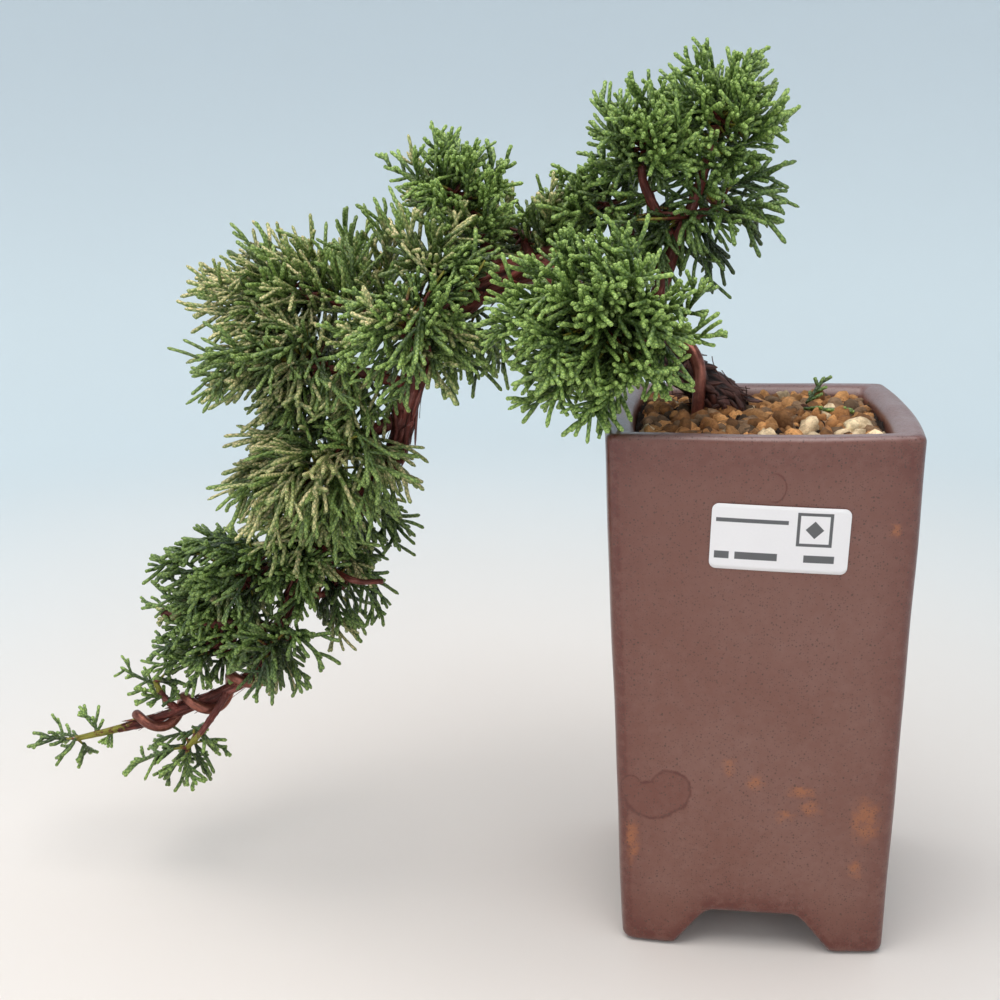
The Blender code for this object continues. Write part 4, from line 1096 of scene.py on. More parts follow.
def trunk_frame(share):
    """Middle of the trunk at shares of its length, with unit vectors along, to front and to top."""
    route = smooth_route(from_rim(TRUNK_ROUTE), ROUTE_STEPS)
    even = np.linspace(0, 1, len(route))
    here, ahead, behind = (np.stack([np.interp(np.clip(share + move, 0, 1), even, route[:, i])
                                     for i in range(3)], -1) for move in (0, 0.006, -0.006))
    along = unit(ahead - behind)
    front = square_to(np.broadcast_to([0.0, -1.0, 0.0], along.shape), along)
    return here, along, front, np.cross(along, front)


def route_length(route):
    """The length of a route: the sum of the steps between its points."""
    return np.linalg.norm(np.diff(route, axis=0), axis=1).sum()


def trunk_length():
    """The length of the trunk's line, from the root to the tip."""
    return route_length(smooth_route(from_rim(TRUNK_ROUTE), ROUTE_STEPS))


def bark_depth(share):
    """How deep the bark is cut along the trunk: most at the root, least at the tip."""
    return 0.25 + 1.0 * np.exp(-(share / 0.16) ** 2) + 0.65 * (1 - share) ** 1.5


def around_trunk(share, turn, lift):
    """A place at a share of the trunk's length and a turn round it, lift above its bark."""
    middle, _, front, top = trunk_frame(share)
    angle = turn * 2 * math.pi
    out = np.cos(angle)[..., None] * front + np.sin(angle)[..., None] * top
    return middle + out * (trunk_radius(share) + lift)[..., None], out


def bark_relief(share, turn, depth):
    """Height of the bark: ridges that run along the trunk and twist a little round it.

    Noise is read on a cylinder whose length is squeezed, so its waves are long and narrow. One
    less its size gives sharp ridges, and finer waves roughen them.
    """
    angle = (turn + 0.9 * share) * 2 * math.pi
    length = share * BARK_PATTERN_LENGTH

    def cylinder(squeeze):
        return np.stack([np.cos(angle) * 6, np.sin(angle) * 6, length * squeeze], -1)

    ridge = 0.55 - np.abs(ripples(cylinder(0.16), 6.5, 31))
    cracks = 0.4 - np.abs(ripples(cylinder(0.4), 3.0, 32))
    lumps = ripples(cylinder(0.8), 7.0, 33)
    return depth * bark_depth(share) * (0.8 * ridge + 0.35 * cracks
                                        + 0.8 * lumps * np.exp(-(share / 0.14) ** 2))


def trunk_points(depth):
    """The trunk as a grid of rings: its own radius plus the bark's relief."""
    share = np.linspace(0, 1, TRUNK_RINGS)[:, None] * np.ones(TRUNK_SIDES)
    turn = np.arange(TRUNK_SIDES)[None] / TRUNK_SIDES + np.zeros((TRUNK_RINGS, 1))
    relief = bark_relief(share, turn, depth)
    points, _ = around_trunk(share, turn, relief)
    return points, share, relief


def bark_strips(count):
    """Peeling strips: flat, pointed ribbons that follow the trunk and lift at one end.

    A strip runs from a random place along the trunk, turning slowly round it. Its lift grows
    with the square of the distance from its held end.
    """
    rng = np.random.default_rng(41)
    share = np.where(rng.uniform(size=count) < 0.42, rng.uniform(0.06, 0.2, count),
                     rng.uniform(0.14, 0.93, count))
    length = rng.uniform(5, 15, count) * np.where(share < 0.2, 0.6, 1.0)
    turn = rng.uniform(size=count)
    step = np.linspace(0, 1, STRIP_RINGS)[None]
    shares = np.clip(share[:, None] + step * (length / trunk_length())[:, None], 0, 0.995)
    turns = turn[:, None] + rng.normal(0, 0.035, count)[:, None] * step * 2
    held = np.where(rng.uniform(size=count) < 0.5, 0.0, 1.0)[:, None]
    rise = rng.uniform(0.1, 1.0, count)[:, None] ** 2 * 2.6
    rise = rise * np.where(share < 0.2, 1.5, 1.1)[:, None]
    lift = 0.15 + rise * np.abs(step - held) ** 2 * (0.3 + (1 - share[:, None]))
    paths, out = around_trunk(shares, turns, lift)
    wide = rng.uniform(0.4, 1.9, count)[:, None] * (1 - (2 * step - 1) ** 4 * 0.85)
    wide = wide * (0.45 + 0.65 * (1 - share[:, None]))
    rings = tube_rings(paths, out, wide, 0.1 + 0.05 * (share[:, None] < 0.2), STRIP_SIDES)
    return rings, shares, rng


def branch_tubes(names):
    """Tapering tubes along the branches' routes, roughened by noise that runs lengthwise."""
    paths, radii = [], []
    for name in names:
        points, first, last = BRANCHES[name]
        paths.append(smooth_route(from_rim(points), BRANCH_RINGS))
        radii.append(first + (last - first) * np.linspace(0, 1, BRANCH_RINGS))
    paths, radii = np.array(paths), np.array(radii)
    points = tube_rings(paths, np.array([0.05, -1.0, 0.12]), radii, radii, BRANCH_SIDES)
    out = points - paths[:, :, None]
    turn = np.arange(BRANCH_SIDES) * 2 * math.pi / BRANCH_SIDES
    where = np.stack([np.broadcast_to(np.cos(turn) * 3, points.shape[:3]),
                      np.broadcast_to(np.sin(turn) * 3, points.shape[:3]),
                      np.broadcast_to((np.arange(BRANCH_RINGS) * 0.35)[:, None],
                                      points.shape[:3])], -1)
    where = where + np.arange(len(names))[:, None, None, None] * 17
    rough = 0.1 * (0.5 - np.abs(ripples(where, 2.6, 51))) + 0.05 * ripples(where, 1.3, 52)
    return points + out * rough[..., None] * 1.6


def bark_material(settings):
    """Bark that changes along the wood: dark plates at the root, red fibres, then green wood."""
    material, shader, paint = new_material("juniper_bark")
    age = paint.node("Attribute", attribute_name="age", out="Fac")
    raised = paint.node("Attribute", attribute_name="raised", out="Fac")
    where = paint.place()
    height = paint.fibres(paint.node("UVMap", uv_map="grain"), 1.6, 0.16)
    fibre = paint.ramp(height, 0.36, 0.64)
    patches = paint.mottle(where, 0.09, 0.5)
    old, red, green = (colour(settings, name) for name in ("old", "red", "green"))

    # Red bark, dulled in patches and shaded in broader ones
    skin = paint.mix(fibre, toned(red, 0.45), red)
    skin = paint.cover(skin, paint.ramp(patches, 0.5, 0.85), 0.75,
                       paint.mix(fibre, red, colour(settings, "grey")))
    shaded = paint.ramp(paint.noise(where, 0.16, 3.0), 0.42, 0.58)
    skin = paint.cover(skin, shaded, 0.55, toned(red, 0.3))

    # Old bark at the root and green wood at the tip, both with uneven ends
    rooty = paint.ramp(paint.math("ADD", age, paint.ramp(patches, 0, 1, -0.05, 0.05)), 0.13, 0.24,
                       1.0, 0.0)
    young = paint.ramp(paint.math("ADD", age, paint.ramp(patches, 0, 1, -0.06, 0.06)), 0.925, 0.97)
    base = paint.mix(rooty, skin, paint.mix(fibre, toned(old, 0.3), old))
    base = paint.mix(young, base, paint.mix(fibre, toned(green, 0.6), green))
    # Painted shade: darker where the bark's relief is low, in the furrows
    base = paint.shade(base, paint.ramp(raised, -0.5, 0.25, 0.22, 1.0))
    connect(paint, shader, base_color=base, roughness=paint.ramp(fibre, 0, 1, 0.75, 0.5),
            normal=paint.bump(height, 0.5, 0.9))
    return material


def coil_route(name):
    """A wire wound on the trunk: a helix one pitch a turn, just clear of the bark."""
    start, turns, pitch, first, thickness = COILS[name]
    turn = np.linspace(0, turns, int(turns * WIRE_STEPS) + 1)
    share = start + turn * pitch / trunk_length()
    return around_trunk(share, first + turn, np.full(len(turn), WIRE_GAP + thickness / 2))


def wire_rings(name):
    """The wire's rings and its route. The way out from the trunk holds the rings true."""
    path, out = coil_route(name)
    if name == "trunk_wire":
        foot = path[0] + np.array(WIRE_FOOT)
        buried = smooth_route(np.vstack([foot, path[:1]]), WIRE_FOOT_RINGS)[:-1]
        path = np.vstack([buried, path])
        out = np.vstack([np.repeat(out[:1], len(buried), axis=0), out])
    radius = np.full(len(path), COILS[name][4] / 2)
    radius[[0, -1]] *= 0.86
    return tube_rings(path[None], out[None], radius[None], radius[None], WIRE_SIDES), path


def wire_material(settings):
    """Anodised wire: a dark brown skin, worn coppery where it was bent, with fine scratches."""
    material, shader, paint = new_material("anodised_wire")
    tone = paint.mottle(paint.place(), 0.12, 0.9)
    scratches = paint.fibres(paint.node("UVMap", uv_map="grain"), 2.6, 0.12)
    bright = colour(settings, "bright")
    base = paint.mix(tone, colour(settings, "dull"), bright)
    base = paint.cover(base, paint.ramp(scratches, 0.55, 0.75), 0.35, toned(bright, 1.6))
    connect(paint, shader, base_color=base, metallic=0.72,
            roughness=paint.ramp(scratches, 0.3, 0.7, 0.28, 0.42),
            normal=paint.bump(scratches, 0.05, 0.5))
    return material


# ---------------------------------------------------------------- foliage

def even_directions(count, rng):
    """Directions spread evenly over a ball by the golden angle, each moved a little."""
    index = np.arange(count) + 0.5
    height = 1 - 2 * index / count
    turn = index * math.pi * (3 - math.sqrt(5))
    ring = np.sqrt(1 - height ** 2)
    ways = np.stack([ring * np.cos(turn), ring * np.sin(turn), height], -1)
    return unit(ways + rng.normal(0, 0.16, ways.shape))


def bent_paths(start, way, length, bend, t):
    """Paths that leave start along way and bend: start + length x (t way + t squared bend)."""
    t = t[:, None]
    return start[:, None] + length[:, None, None] * (t * way[:, None] + t ** 2 * bend[:, None])


def point_on(start, way, length, bend, t):
    """The place and direction at share t of the paths that bent_paths gives."""
    place = start + length[..., None] * (t[..., None] * way + t[..., None] ** 2 * bend)
    return place, unit(way + 2 * t[..., None] * bend)


class Shoots:
    """Scale-leaved shoots gathered for one piece, as arrays with one row for each shoot."""

    def __init__(self):
        self.rows = []

    def add(self, start, way, length, bend, radius, warm, bronze, fresh, depth, first=0.0):
        """Take shoots. first is where a shoot's green starts to turn to tip colour."""
        count = len(start)
        values = [np.broadcast_to(np.asarray(value, dtype=float), count)
                  for value in (length, radius, warm, bronze, fresh, depth, first)]
        self.rows.append(np.column_stack([start, way, bend, *values]))

    def arrays(self):
        rows = np.vstack(self.rows)
        return (rows[:, 0:3], rows[:, 3:6], rows[:, 6:9], *rows[:, 9:].T)


def grow_sprays(shoots, rng, start, way, length, bend, finger, style, depth):
    """Grow a spray on each axis: side shoots, some of them forked, and the axis itself.

    Side shoots leave the axis alternately, at about 42 degrees, and turn round it the less the
    flatter the spray is. They are longest a third of the way up and bend forward.
    """
    flat, forked, warm, bronze, fresh = style
    count, fingers = len(start), MOST_FINGERS
    radius = rng.normal(1.0, 0.08, count).clip(0.82, 1.2)
    warm_one = (warm + rng.normal(0, 0.18, count)).clip(0, 1)
    bronze_one = np.where(rng.uniform(size=count) < bronze, rng.uniform(0.65, 1, count), 0.12 * bronze)
    shoots.add(start, way, length, bend, radius * 1.05, warm_one, bronze_one, fresh, depth, 0.55)
    side_a = square_to(rng.normal(size=(count, 3)), way)
    side_b = np.cross(way, side_a)
    index = np.arange(fingers)
    borne = np.clip(np.round(length / FINGER_STEP), 4, fingers)[:, None]
    t = (index + 0.45) / (borne + 0.35) + rng.uniform(-0.03, 0.03, (count, fingers))
    angle = (index * math.pi + (1 - flat) * index * 0.95)[None] + rng.normal(0, 0.3, t.shape)
    out = (np.cos(angle)[..., None] * side_a[:, None] + np.sin(angle)[..., None] * side_b[:, None])
    place, along = point_on(start[:, None], way[:, None], length[:, None], bend[:, None], t)
    lean = np.radians(rng.normal(42, 11, t.shape))[..., None]
    finger_way = unit(along * np.cos(lean) + out * np.sin(lean))
    profile = 0.9 + 0.4 * t - 0.85 * t ** 2
    finger_length = finger * profile * rng.uniform(0.65, 1.35, t.shape)
    finger_bend = (along - finger_way) * rng.uniform(0.0, 0.35, t.shape)[..., None]
    finger_bend = finger_bend + rng.normal(0, 0.13, finger_bend.shape) + bend[:, None] * 0.4
    keep = (rng.uniform(size=t.shape) < 0.95) & (index[None] < borne)
    each = np.broadcast_to(np.arange(count)[:, None], t.shape)[keep]
    tone = rng.normal(0, 0.1, keep.sum())
    shoots.add(place[keep], finger_way[keep], finger_length[keep], finger_bend[keep],
               radius[each] * rng.uniform(0.88, 1.08, keep.sum()), (warm_one[each] + tone).clip(0, 1),
               (bronze_one[each] * rng.uniform(0.5, 1.3, keep.sum())).clip(0, 1), fresh,
               np.broadcast_to(depth, count)[each])
    for at, side, odds in ((0.35, 1, 0.55), (0.6, -1, 0.35)):
        forks = keep & (rng.uniform(size=t.shape) < forked * odds)
        fork_place, fork_along = point_on(place[forks], finger_way[forks], finger_length[forks],
                                          finger_bend[forks], np.full(forks.sum(), at))
        turned = square_to(side * np.cross(fork_along, out[forks])
                           + rng.normal(0, 0.9, fork_place.shape), fork_along)
        fork_way = unit(fork_along * 0.78 + turned * 0.62)
        each = np.broadcast_to(np.arange(count)[:, None], t.shape)[forks]
        shoots.add(fork_place, fork_way, finger_length[forks] * rng.uniform(0.4, 0.65, forks.sum()),
                   (fork_along - fork_way) * 0.3, radius[each] * 0.93, warm_one[each],
                   bronze_one[each], fresh, np.broadcast_to(depth, count)[each])


def pad_axes(name, middle, halves, settings, rng):
    """Where each spray of a pad starts, the way it grows, its length and its bend.

    A spray's tip lies near the pad's outline, or for some of them well inside it. It grows
    partly from the nearest part of its branch, partly straight out, and leans the pad's own way.
    """
    branch, lean, droop, *_, amount = PADS[name]
    route = smooth_route(from_rim(TRUNK_ROUTE if branch == "trunk" else BRANCHES[branch][0]), 60)
    route = route[56 if branch == "trunk" else 16:]
    count = max(2, round(np.prod(halves + 1.5) / SPRAY_ROOM * amount * settings.fullness))
    ways = even_directions(count, rng)
    shell = np.where(rng.uniform(size=count) < 0.6, rng.uniform(0.92, 1.14, count),
                     rng.uniform(0.42, 0.9, count))
    tips = middle + (halves + 1.0) * ways * shell[:, None]
    apart = np.linalg.norm(tips[:, None] - route[None], axis=-1)
    nearest = (apart + np.linspace(0.3, 0, len(route)) * apart.min(axis=1)[:, None]).argmin(axis=1)
    root = route[nearest]
    away = np.linalg.norm(tips - root, axis=1)
    way = unit(0.85 * unit(tips - root) + 0.4 * unit(halves * ways) + np.array(lean) * 0.9
               + rng.normal(0, 0.24, tips.shape))
    length = np.clip(away * 0.95, 9.0, 21.0) * rng.uniform(0.75, 1.05, count)
    bend = np.array([0, 0, droop]) + rng.normal(0, 0.1, (count, 3))
    start = tips - length[:, None] * (way + bend)
    kept = np.ones(count, dtype=bool)
    for place, radius in CLEARINGS:
        for share in (0.5, 1.0):
            reached = start + (tips - start) * share
            kept &= np.linalg.norm(reached - from_rim(place), axis=1) > radius
    return tuple(values[kept] for values in (start, way, length, bend, root, shell))


def grow_pad(name, settings):
    """All shoots of a pad, and the twigs that carry its sprays from the branch."""
    rng = np.random.default_rng(sum(map(ord, name)) * 7)
    _, _, _, reach, *style, _ = PADS[name]
    finger = settings.length / MM * reach
    shoots, twigs = Shoots(), []
    blobs = [box_of("foliage_" + name)]
    blobs += [(from_rim(middle), np.array(halves, dtype=float))
              for middle, halves in FILLS.get(name, [])]
    for middle, halves in blobs:
        start, way, length, bend, root, shell = pad_axes(name, middle, halves, settings, rng)
        grow_sprays(shoots, rng, start, way, length, bend, finger, style, (shell - 0.4) / 0.7)
        twigs.append((root, start, way))
    return shoots, twigs


def shoot_mesh(name, shoots, settings, material):
    """Skin the shoots: round cords that swell at every leaf whorl and end bluntly.

    The radius is the shoot's own times a gentle rise, a notch at every other ring, and a quick
    fall at the end. The map "scales" holds turns round a cord and millimetres along it, and the
    map "OFBake" gives each cord a square of its own.
    """
    rings, sides = CORD_RINGS, CORD_SIDES
    start, way, bend, length, radius, warm, bronze, fresh, depth, first = shoots.arrays()
    count = len(start)
    t = np.append(np.linspace(0, BLUNT_FROM, rings - 1), 1.0)
    paths = bent_paths(start, way, length, bend, t)
    outline = (0.88 + 0.2 * np.sin(t * math.pi * 0.75)) * np.where(t > BLUNT_FROM, 0.45, 1.0)
    outline = outline * (1 + 0.07 * np.where(np.arange(rings) % 2, 1, -1))
    thick = settings.thickness / 2 / MM * radius[:, None] * outline[None]
    seed = np.random.default_rng(len(name) + count)
    face = seed.normal(size=(count, 1, 3))
    points = tube_rings(paths, face, thick, thick, sides)
    faces = grid_faces(rings, sides, copies=count)
    along = np.clip((t[None] - first[:, None]) / (1 - first[:, None]), 0, 1)
    tone = seed.uniform(size=count)

    def each(values):
        return np.broadcast_to(values.reshape(count, -1, 1), (count, rings, sides)).ravel()

    marks = {"growth": np.column_stack([each(along), each(tone), each(bronze)]),
             "kind": np.column_stack([each(warm), each(fresh), each(depth)])}
    steps = np.repeat(length, (rings - 1) * sides)[:, None] / (rings - 1)
    scales = lengthwise_map(faces, rings, sides, 1.0, rings - 1).reshape(-1, 4, 2)
    scales = np.stack([scales[..., 0], scales[..., 1] * steps], -1).reshape(-1, 2)
    across = math.ceil(math.sqrt(count))
    cell = np.arange(count)
    corner = np.column_stack([cell % across, cell // across]) / across
    baked = lengthwise_map(faces, rings, sides, 0.92, 0.92) / across
    baked = baked + np.repeat(corner + 0.04 / across, (rings - 1) * sides * 4, axis=0)
    return add_piece(name, points, [faces, end_faces(rings, sides, copies=count)], material, marks,
                     {"scales": scales, "OFBake": baked})


def foliage_material(settings):
    """Overlapping scale leaves on a cord: a braid of diamonds with painted shade and highlights, paler
    at tips.
    """
    material, shader, paint = new_material("scale_leaves")
    along, tone, bronze = paint.split(paint.node("Attribute", attribute_name="growth", out="Vector"))
    warm, fresh, depth = paint.split(paint.node("Attribute", attribute_name="kind", out="Vector"))

    # Two sets of strands wind round the cord and cross: high where both are high
    u, v = paint.split(paint.node("UVMap", uv_map="scales"), 2)
    turns = paint.math("MULTIPLY", u, 2.0)
    lengths = paint.math("DIVIDE", v, SCALE_PITCH)
    strands = []
    for operation in ("ADD", "SUBTRACT"):
        share = paint.math("FRACT", paint.math(operation, lengths, turns))
        strands.append(paint.math("SUBTRACT", 1.0, paint.math(
            "ABSOLUTE", paint.math("SUBTRACT", paint.math("MULTIPLY", share, 2.0), 1.0))))
    leaf = paint.math("MULTIPLY", *strands)

    # Greens by warmth and age, then cream bronzing: the shoots' own colour, laid only on upward faces as
    # a painted highlight
    green = paint.mix(paint.math("ADD", paint.math("MULTIPLY", warm, 0.75),
                                 paint.math("MULTIPLY", tone, 0.3), clamp=True),
                      colour(settings, "shade"), colour(settings, "leaf"))
    green = paint.cover(green, paint.ramp(along, 0.35, 1.0), fresh, colour(settings, "fresh"))
    upward = paint.split(paint.node("NewGeometry", out="Normal"))[2]
    painted_top_light = paint.ramp(upward, -0.6, 0.7, 0.15, 1.0)
    patch = paint.noise(paint.place(), 0.35, 2.0)
    bronze_and_top_highlight = paint.math("MULTIPLY", paint.math("MULTIPLY", bronze, painted_top_light),
                        paint.ramp(paint.math("ADD", patch, paint.math("MULTIPLY", along, 0.25)),
                                   0.4, 0.7), clamp=True)
    green = paint.mix(bronze_and_top_highlight, green, colour(settings, "bronze"))

    # Painted shade in the gaps between leaves, a painted highlight on their middles, and painted shade
    # deep in the pad and at a cord's foot
    base = paint.mix(paint.ramp(leaf, 0.02, 0.3), paint.shade(green, (0.42, 0.5, 0.42)), green)
    base = paint.cover(base, paint.ramp(leaf, 0.45, 0.85), 0.6,
                       paint.shade(green, (1.5, 1.42, 1.35)))
    painted_foot_shade = paint.ramp(along, 0.0, 0.5, 0.62, 1.0)
    base = paint.shade(base, paint.math("MULTIPLY", paint.ramp(depth, 0.0, 0.75, 0.34, 1.0), painted_foot_shade))
    connect(paint, shader, base_color=base, roughness=paint.ramp(leaf, 0, 1, 0.44, 0.27),
            normal=paint.bump(leaf, 0.3, 0.8))
    return material


def twig_tubes(groups, rng):
    """Thin woody twigs from each branch's end to its sprays, bowing out on the way.

    A twig is a quadratic curve from the branch's end to the spray's start, which it meets along
    the spray's own direction.
    """
    paths = []
    t = np.linspace(0, 1, TWIG_RINGS)[:, None]
    for root, start, way in groups:
        far = np.linalg.norm(start - root, axis=1)
        knee = (start + root) / 2 - way * (0.18 * far)[:, None]
        knee = knee + rng.normal(0, 0.05, knee.shape) * far[:, None]
        paths.append(((1 - t) ** 2 * root[:, None] + 2 * t * (1 - t) * knee[:, None]
                      + t ** 2 * (start + way * 1.5)[:, None]))
    paths = np.vstack(paths)
    thick = TWIG_RADIUS * np.linspace(1.25, 0.75, TWIG_RINGS)[None]
    return tube_rings(paths, rng.normal(size=(len(paths), 1, 3)), thick, thick, TWIG_SIDES)


# ---------------------------------------------------------------- label

def label_rows(width, height):
    """A rounded rectangle laid on the pot's bowed, leaning front, as rows from foot to head."""
    bend = np.linspace(0, 0.5 * math.pi, 9)
    edge_x = width / 2 - LABEL_CORNER * (1 - np.sin(bend))
    edge_z = height / 2 - LABEL_CORNER * (1 - np.cos(bend))
    inner = np.linspace(-1, 1, 41)[1:-1] * edge_x[0]
    across = np.concatenate([-edge_x[::-1], inner, edge_x])
    half = np.concatenate([edge_z[::-1], np.full(len(inner), height / 2), edge_z])
    share = np.linspace(-1, 1, 17)[:, None]
    u, v = across[None] + 0 * share, half[None] * share
    x = LABEL_ACROSS + u * math.cos(LABEL_TURN) - v * math.sin(LABEL_TURN)
    z = POT_HEIGHT - LABEL_BELOW_RIM + u * math.sin(LABEL_TURN) + v * math.cos(LABEL_TURN)
    face = pot_half_width(z)
    y = -(face + pot_bow(x, face) + LABEL_GAP)
    return np.stack([x, y, z], -1), np.stack([u, v], -1)


def label_material(settings):
    """Coated paper with plain printed marks: bars of several lengths and one framed diamond."""
    material, shader, paint = new_material("label_paper")
    x, z = paint.split(paint.node("UVMap", uv_map="print"), 2)

    def past(value, edge, start=0.0, end=1.0):
        return paint.ramp(value, edge - PRINT_BLUR, edge + PRINT_BLUR, start, end)

    def block(left, right, low, high):
        inside = paint.math("MULTIPLY", past(x, left), past(x, right, 1.0, 0.0))
        inside = paint.math("MULTIPLY", inside, past(z, low))
        return paint.math("MULTIPLY", inside, past(z, high, 1.0, 0.0))

    apart = [paint.math("ABSOLUTE", paint.math("SUBTRACT", value, middle))
             for value, middle in zip((x, z), LABEL_DIAMOND)]
    diamond = paint.ramp(paint.math("ADD", *apart), LABEL_DIAMOND_SIZE - 0.1,
                         LABEL_DIAMOND_SIZE + 0.1, 1.0, 0.0)
    ink = paint.math("SUBTRACT", block(*LABEL_FRAME), block(*LABEL_FRAME_INSIDE))
    ink = paint.math("ADD", ink, diamond)
    for bar in LABEL_BARS:
        ink = paint.math("MAXIMUM", ink, block(*bar))
    where = paint.place()
    paper = colour(settings, "paper")
    base = paint.cover(paper, paint.mottle(where, 0.05, 1.5), 0.5, toned(paper, 0.93))
    base = paint.cover(base, ink, 0.9, colour(settings, "ink"))
    connect(paint, shader, base_color=base, roughness=paint.ramp(ink, 0, 1, 0.42, 0.6),
            normal=paint.bump(paint.noise(where, 2.0, 3.0), 0.04, 0.5))
    return material


# ---------------------------------------------------------------- studio

def cove_points():
    """A round floor that curves up into a wall: a disc, a quarter circle, then a cylinder."""
    flat = COVE_RADIUS - COVE_BEND
    turn = np.linspace(0, 0.5 * math.pi, 16)[1:]
    reach = np.concatenate([[0.002], np.linspace(0.15, 1, 8) * flat,
                            flat + COVE_BEND * np.sin(turn), [COVE_RADIUS] * 8])
    height = np.concatenate([np.zeros(9), COVE_BEND * (1 - np.cos(turn)),
                             COVE_BEND + np.linspace(0.1, 1, 8) * (COVE_TOP - COVE_BEND)])
    angle = np.arange(COVE_SIDES) * 2 * math.pi / COVE_SIDES
    return np.stack([reach[:, None] * np.cos(angle), reach[:, None] * np.sin(angle),
                     height[:, None] + 0 * angle], -1) / MM


def cove_material(settings):
    """Painted studio cove: warm white at the floor, fading to a pale blue up the wall."""
    material, shader, paint = new_material("studio_cove")
    where = paint.node("TexCoord", out="Object")
    flat = paint.node("VectorMath", {0: where, 1: (1, 1, 0)}, operation="MULTIPLY")
    away = paint.node("VectorMath", {0: flat}, out="Value", operation="LENGTH")
    far = paint.math("ADD", away, paint.node("SeparateXYZ", {0: where}, out="Z"))
    far = paint.math("ADD", far, paint.ramp(paint.noise(where, 3.0, 2.0), 0, 1, -0.04, 0.04))
    base = paint.mix(paint.ramp(far, 0.05, 0.85), colour(settings, "floor"), colour(settings, "haze"))
    base = paint.mix(paint.ramp(far, 1.05, 1.75), base, colour(settings, "wall"))
    connect(paint, shader, base_color=base, roughness=0.9,
            normal=paint.bump(paint.noise(where, 300.0, 2.0), 0.1, 0.2))
    return material


def add_area_light(name, place, target, size, power, tint):
    """A square soft light at a place, turned to face a target, both in metres."""
    lamp = bpy.data.lights.new(name, "AREA")
    lamp.shape, lamp.size, lamp.energy, lamp.color = "SQUARE", size, power, tint
    light = bpy.data.objects.new(name, lamp)
    bpy.context.scene.collection.objects.link(light)
    back = unit(np.array(place, dtype=float) - target)
    side = unit(np.cross((0.02, 1.0, 0.05), back))
    light.matrix_world = turned_place(side, np.cross(back, side), back, place)


def turned_place(right, up, back, place):
    """The 4 by 4 matrix whose columns are an object's own axes and its place."""
    matrix = np.eye(4)
    matrix[:3] = np.column_stack([right, up, back, place])
    return Matrix(matrix.tolist())


def add_camera(lens):
    """A camera at the viewing angle: ahead from yaw and pitch, then rolled about that line."""
    level = np.array([-math.sin(CAMERA_YAW), math.cos(CAMERA_YAW), 0.0])
    ahead = level * math.cos(CAMERA_PITCH) - (0, 0, math.sin(CAMERA_PITCH))
    right = np.array([math.cos(CAMERA_YAW), math.sin(CAMERA_YAW), 0.0])
    up = np.cross(right, ahead)
    rolled_right = math.cos(CAMERA_ROLL) * right + math.sin(CAMERA_ROLL) * up
    rolled_up = -math.sin(CAMERA_ROLL) * right + math.cos(CAMERA_ROLL) * up
    data = bpy.data.cameras.new("camera")
    data.lens, data.sensor_width = lens, 36.0
    camera = bpy.data.objects.new("camera", data)
    bpy.context.scene.collection.objects.link(camera)
    place = FOOT + np.array(CAMERA_PLACE) * MM
    camera.matrix_world = turned_place(rolled_right, rolled_up, -ahead, place)
    bpy.context.scene.camera = camera


# ---------------------------------------------------------------- operators

class JUNIPER_OT_stage(bpy.types.Operator):
    """Set up the cove, the soft lights and the camera"""

    bl_idname = "juniper.stage"
    bl_label = "Studio"

    def execute(self, context):
        settings = context.scene.juniper_stage
        points = cove_points()
        rows, columns = points.shape[:2]
        faces = grid_faces(rows, columns)[:, ::-1]
        points = points + (0, 0, -COVE_DROP) - FOOT / MM
        cove = add_piece("studio_cove", points, [faces, end_faces(rows, columns)[:1, ::-1]],
                         cove_material(settings))
        target = 0.5 * (np.array(CAD_BOX[0]) + CAD_BOX[1])
        for name, place, size, power, tint in (
                ("overhead", (-0.1, -0.15, 0.95), 1.1, settings.key, (1.0, 0.99, 0.97)),
                ("front_left", (-0.75, -0.95, 0.35), 0.9, settings.fill, (0.97, 0.985, 1.0)),
                ("front_right", (0.85, -0.8, 0.3), 0.8, settings.fill * 0.6, (1.0, 0.99, 0.98))):
            add_area_light(name, target + place, target, size, power, tint)
        world = bpy.data.worlds.new("studio")
        world.use_nodes = True
        sky = world.node_tree.nodes["Background"]
        sky.inputs["Color"].default_value = (0.93, 0.96, 1.0, 1)
        sky.inputs["Strength"].default_value = settings.ambient
        context.scene.world = world
        context.scene.view_settings.view_transform = "Standard"
        add_camera(settings.lens)
        return {"FINISHED"}


class JUNIPER_OT_pot(bpy.types.Operator):
    """Build the fired clay pot"""

    bl_idname = "juniper.pot"
    bl_label = "Pot"

    def execute(self, context):
        settings = context.scene.juniper_pot
        points, edge = pot_surface(settings.warp / MM)
        rows, columns = points.shape[:2]
        pot = add_piece("stoneware_pot", points, [grid_faces(rows, columns, round_rows=True)],
                        stoneware(settings), {"edge": edge})
        settle(pot, "stoneware", "pot")
        return {"FINISHED"}


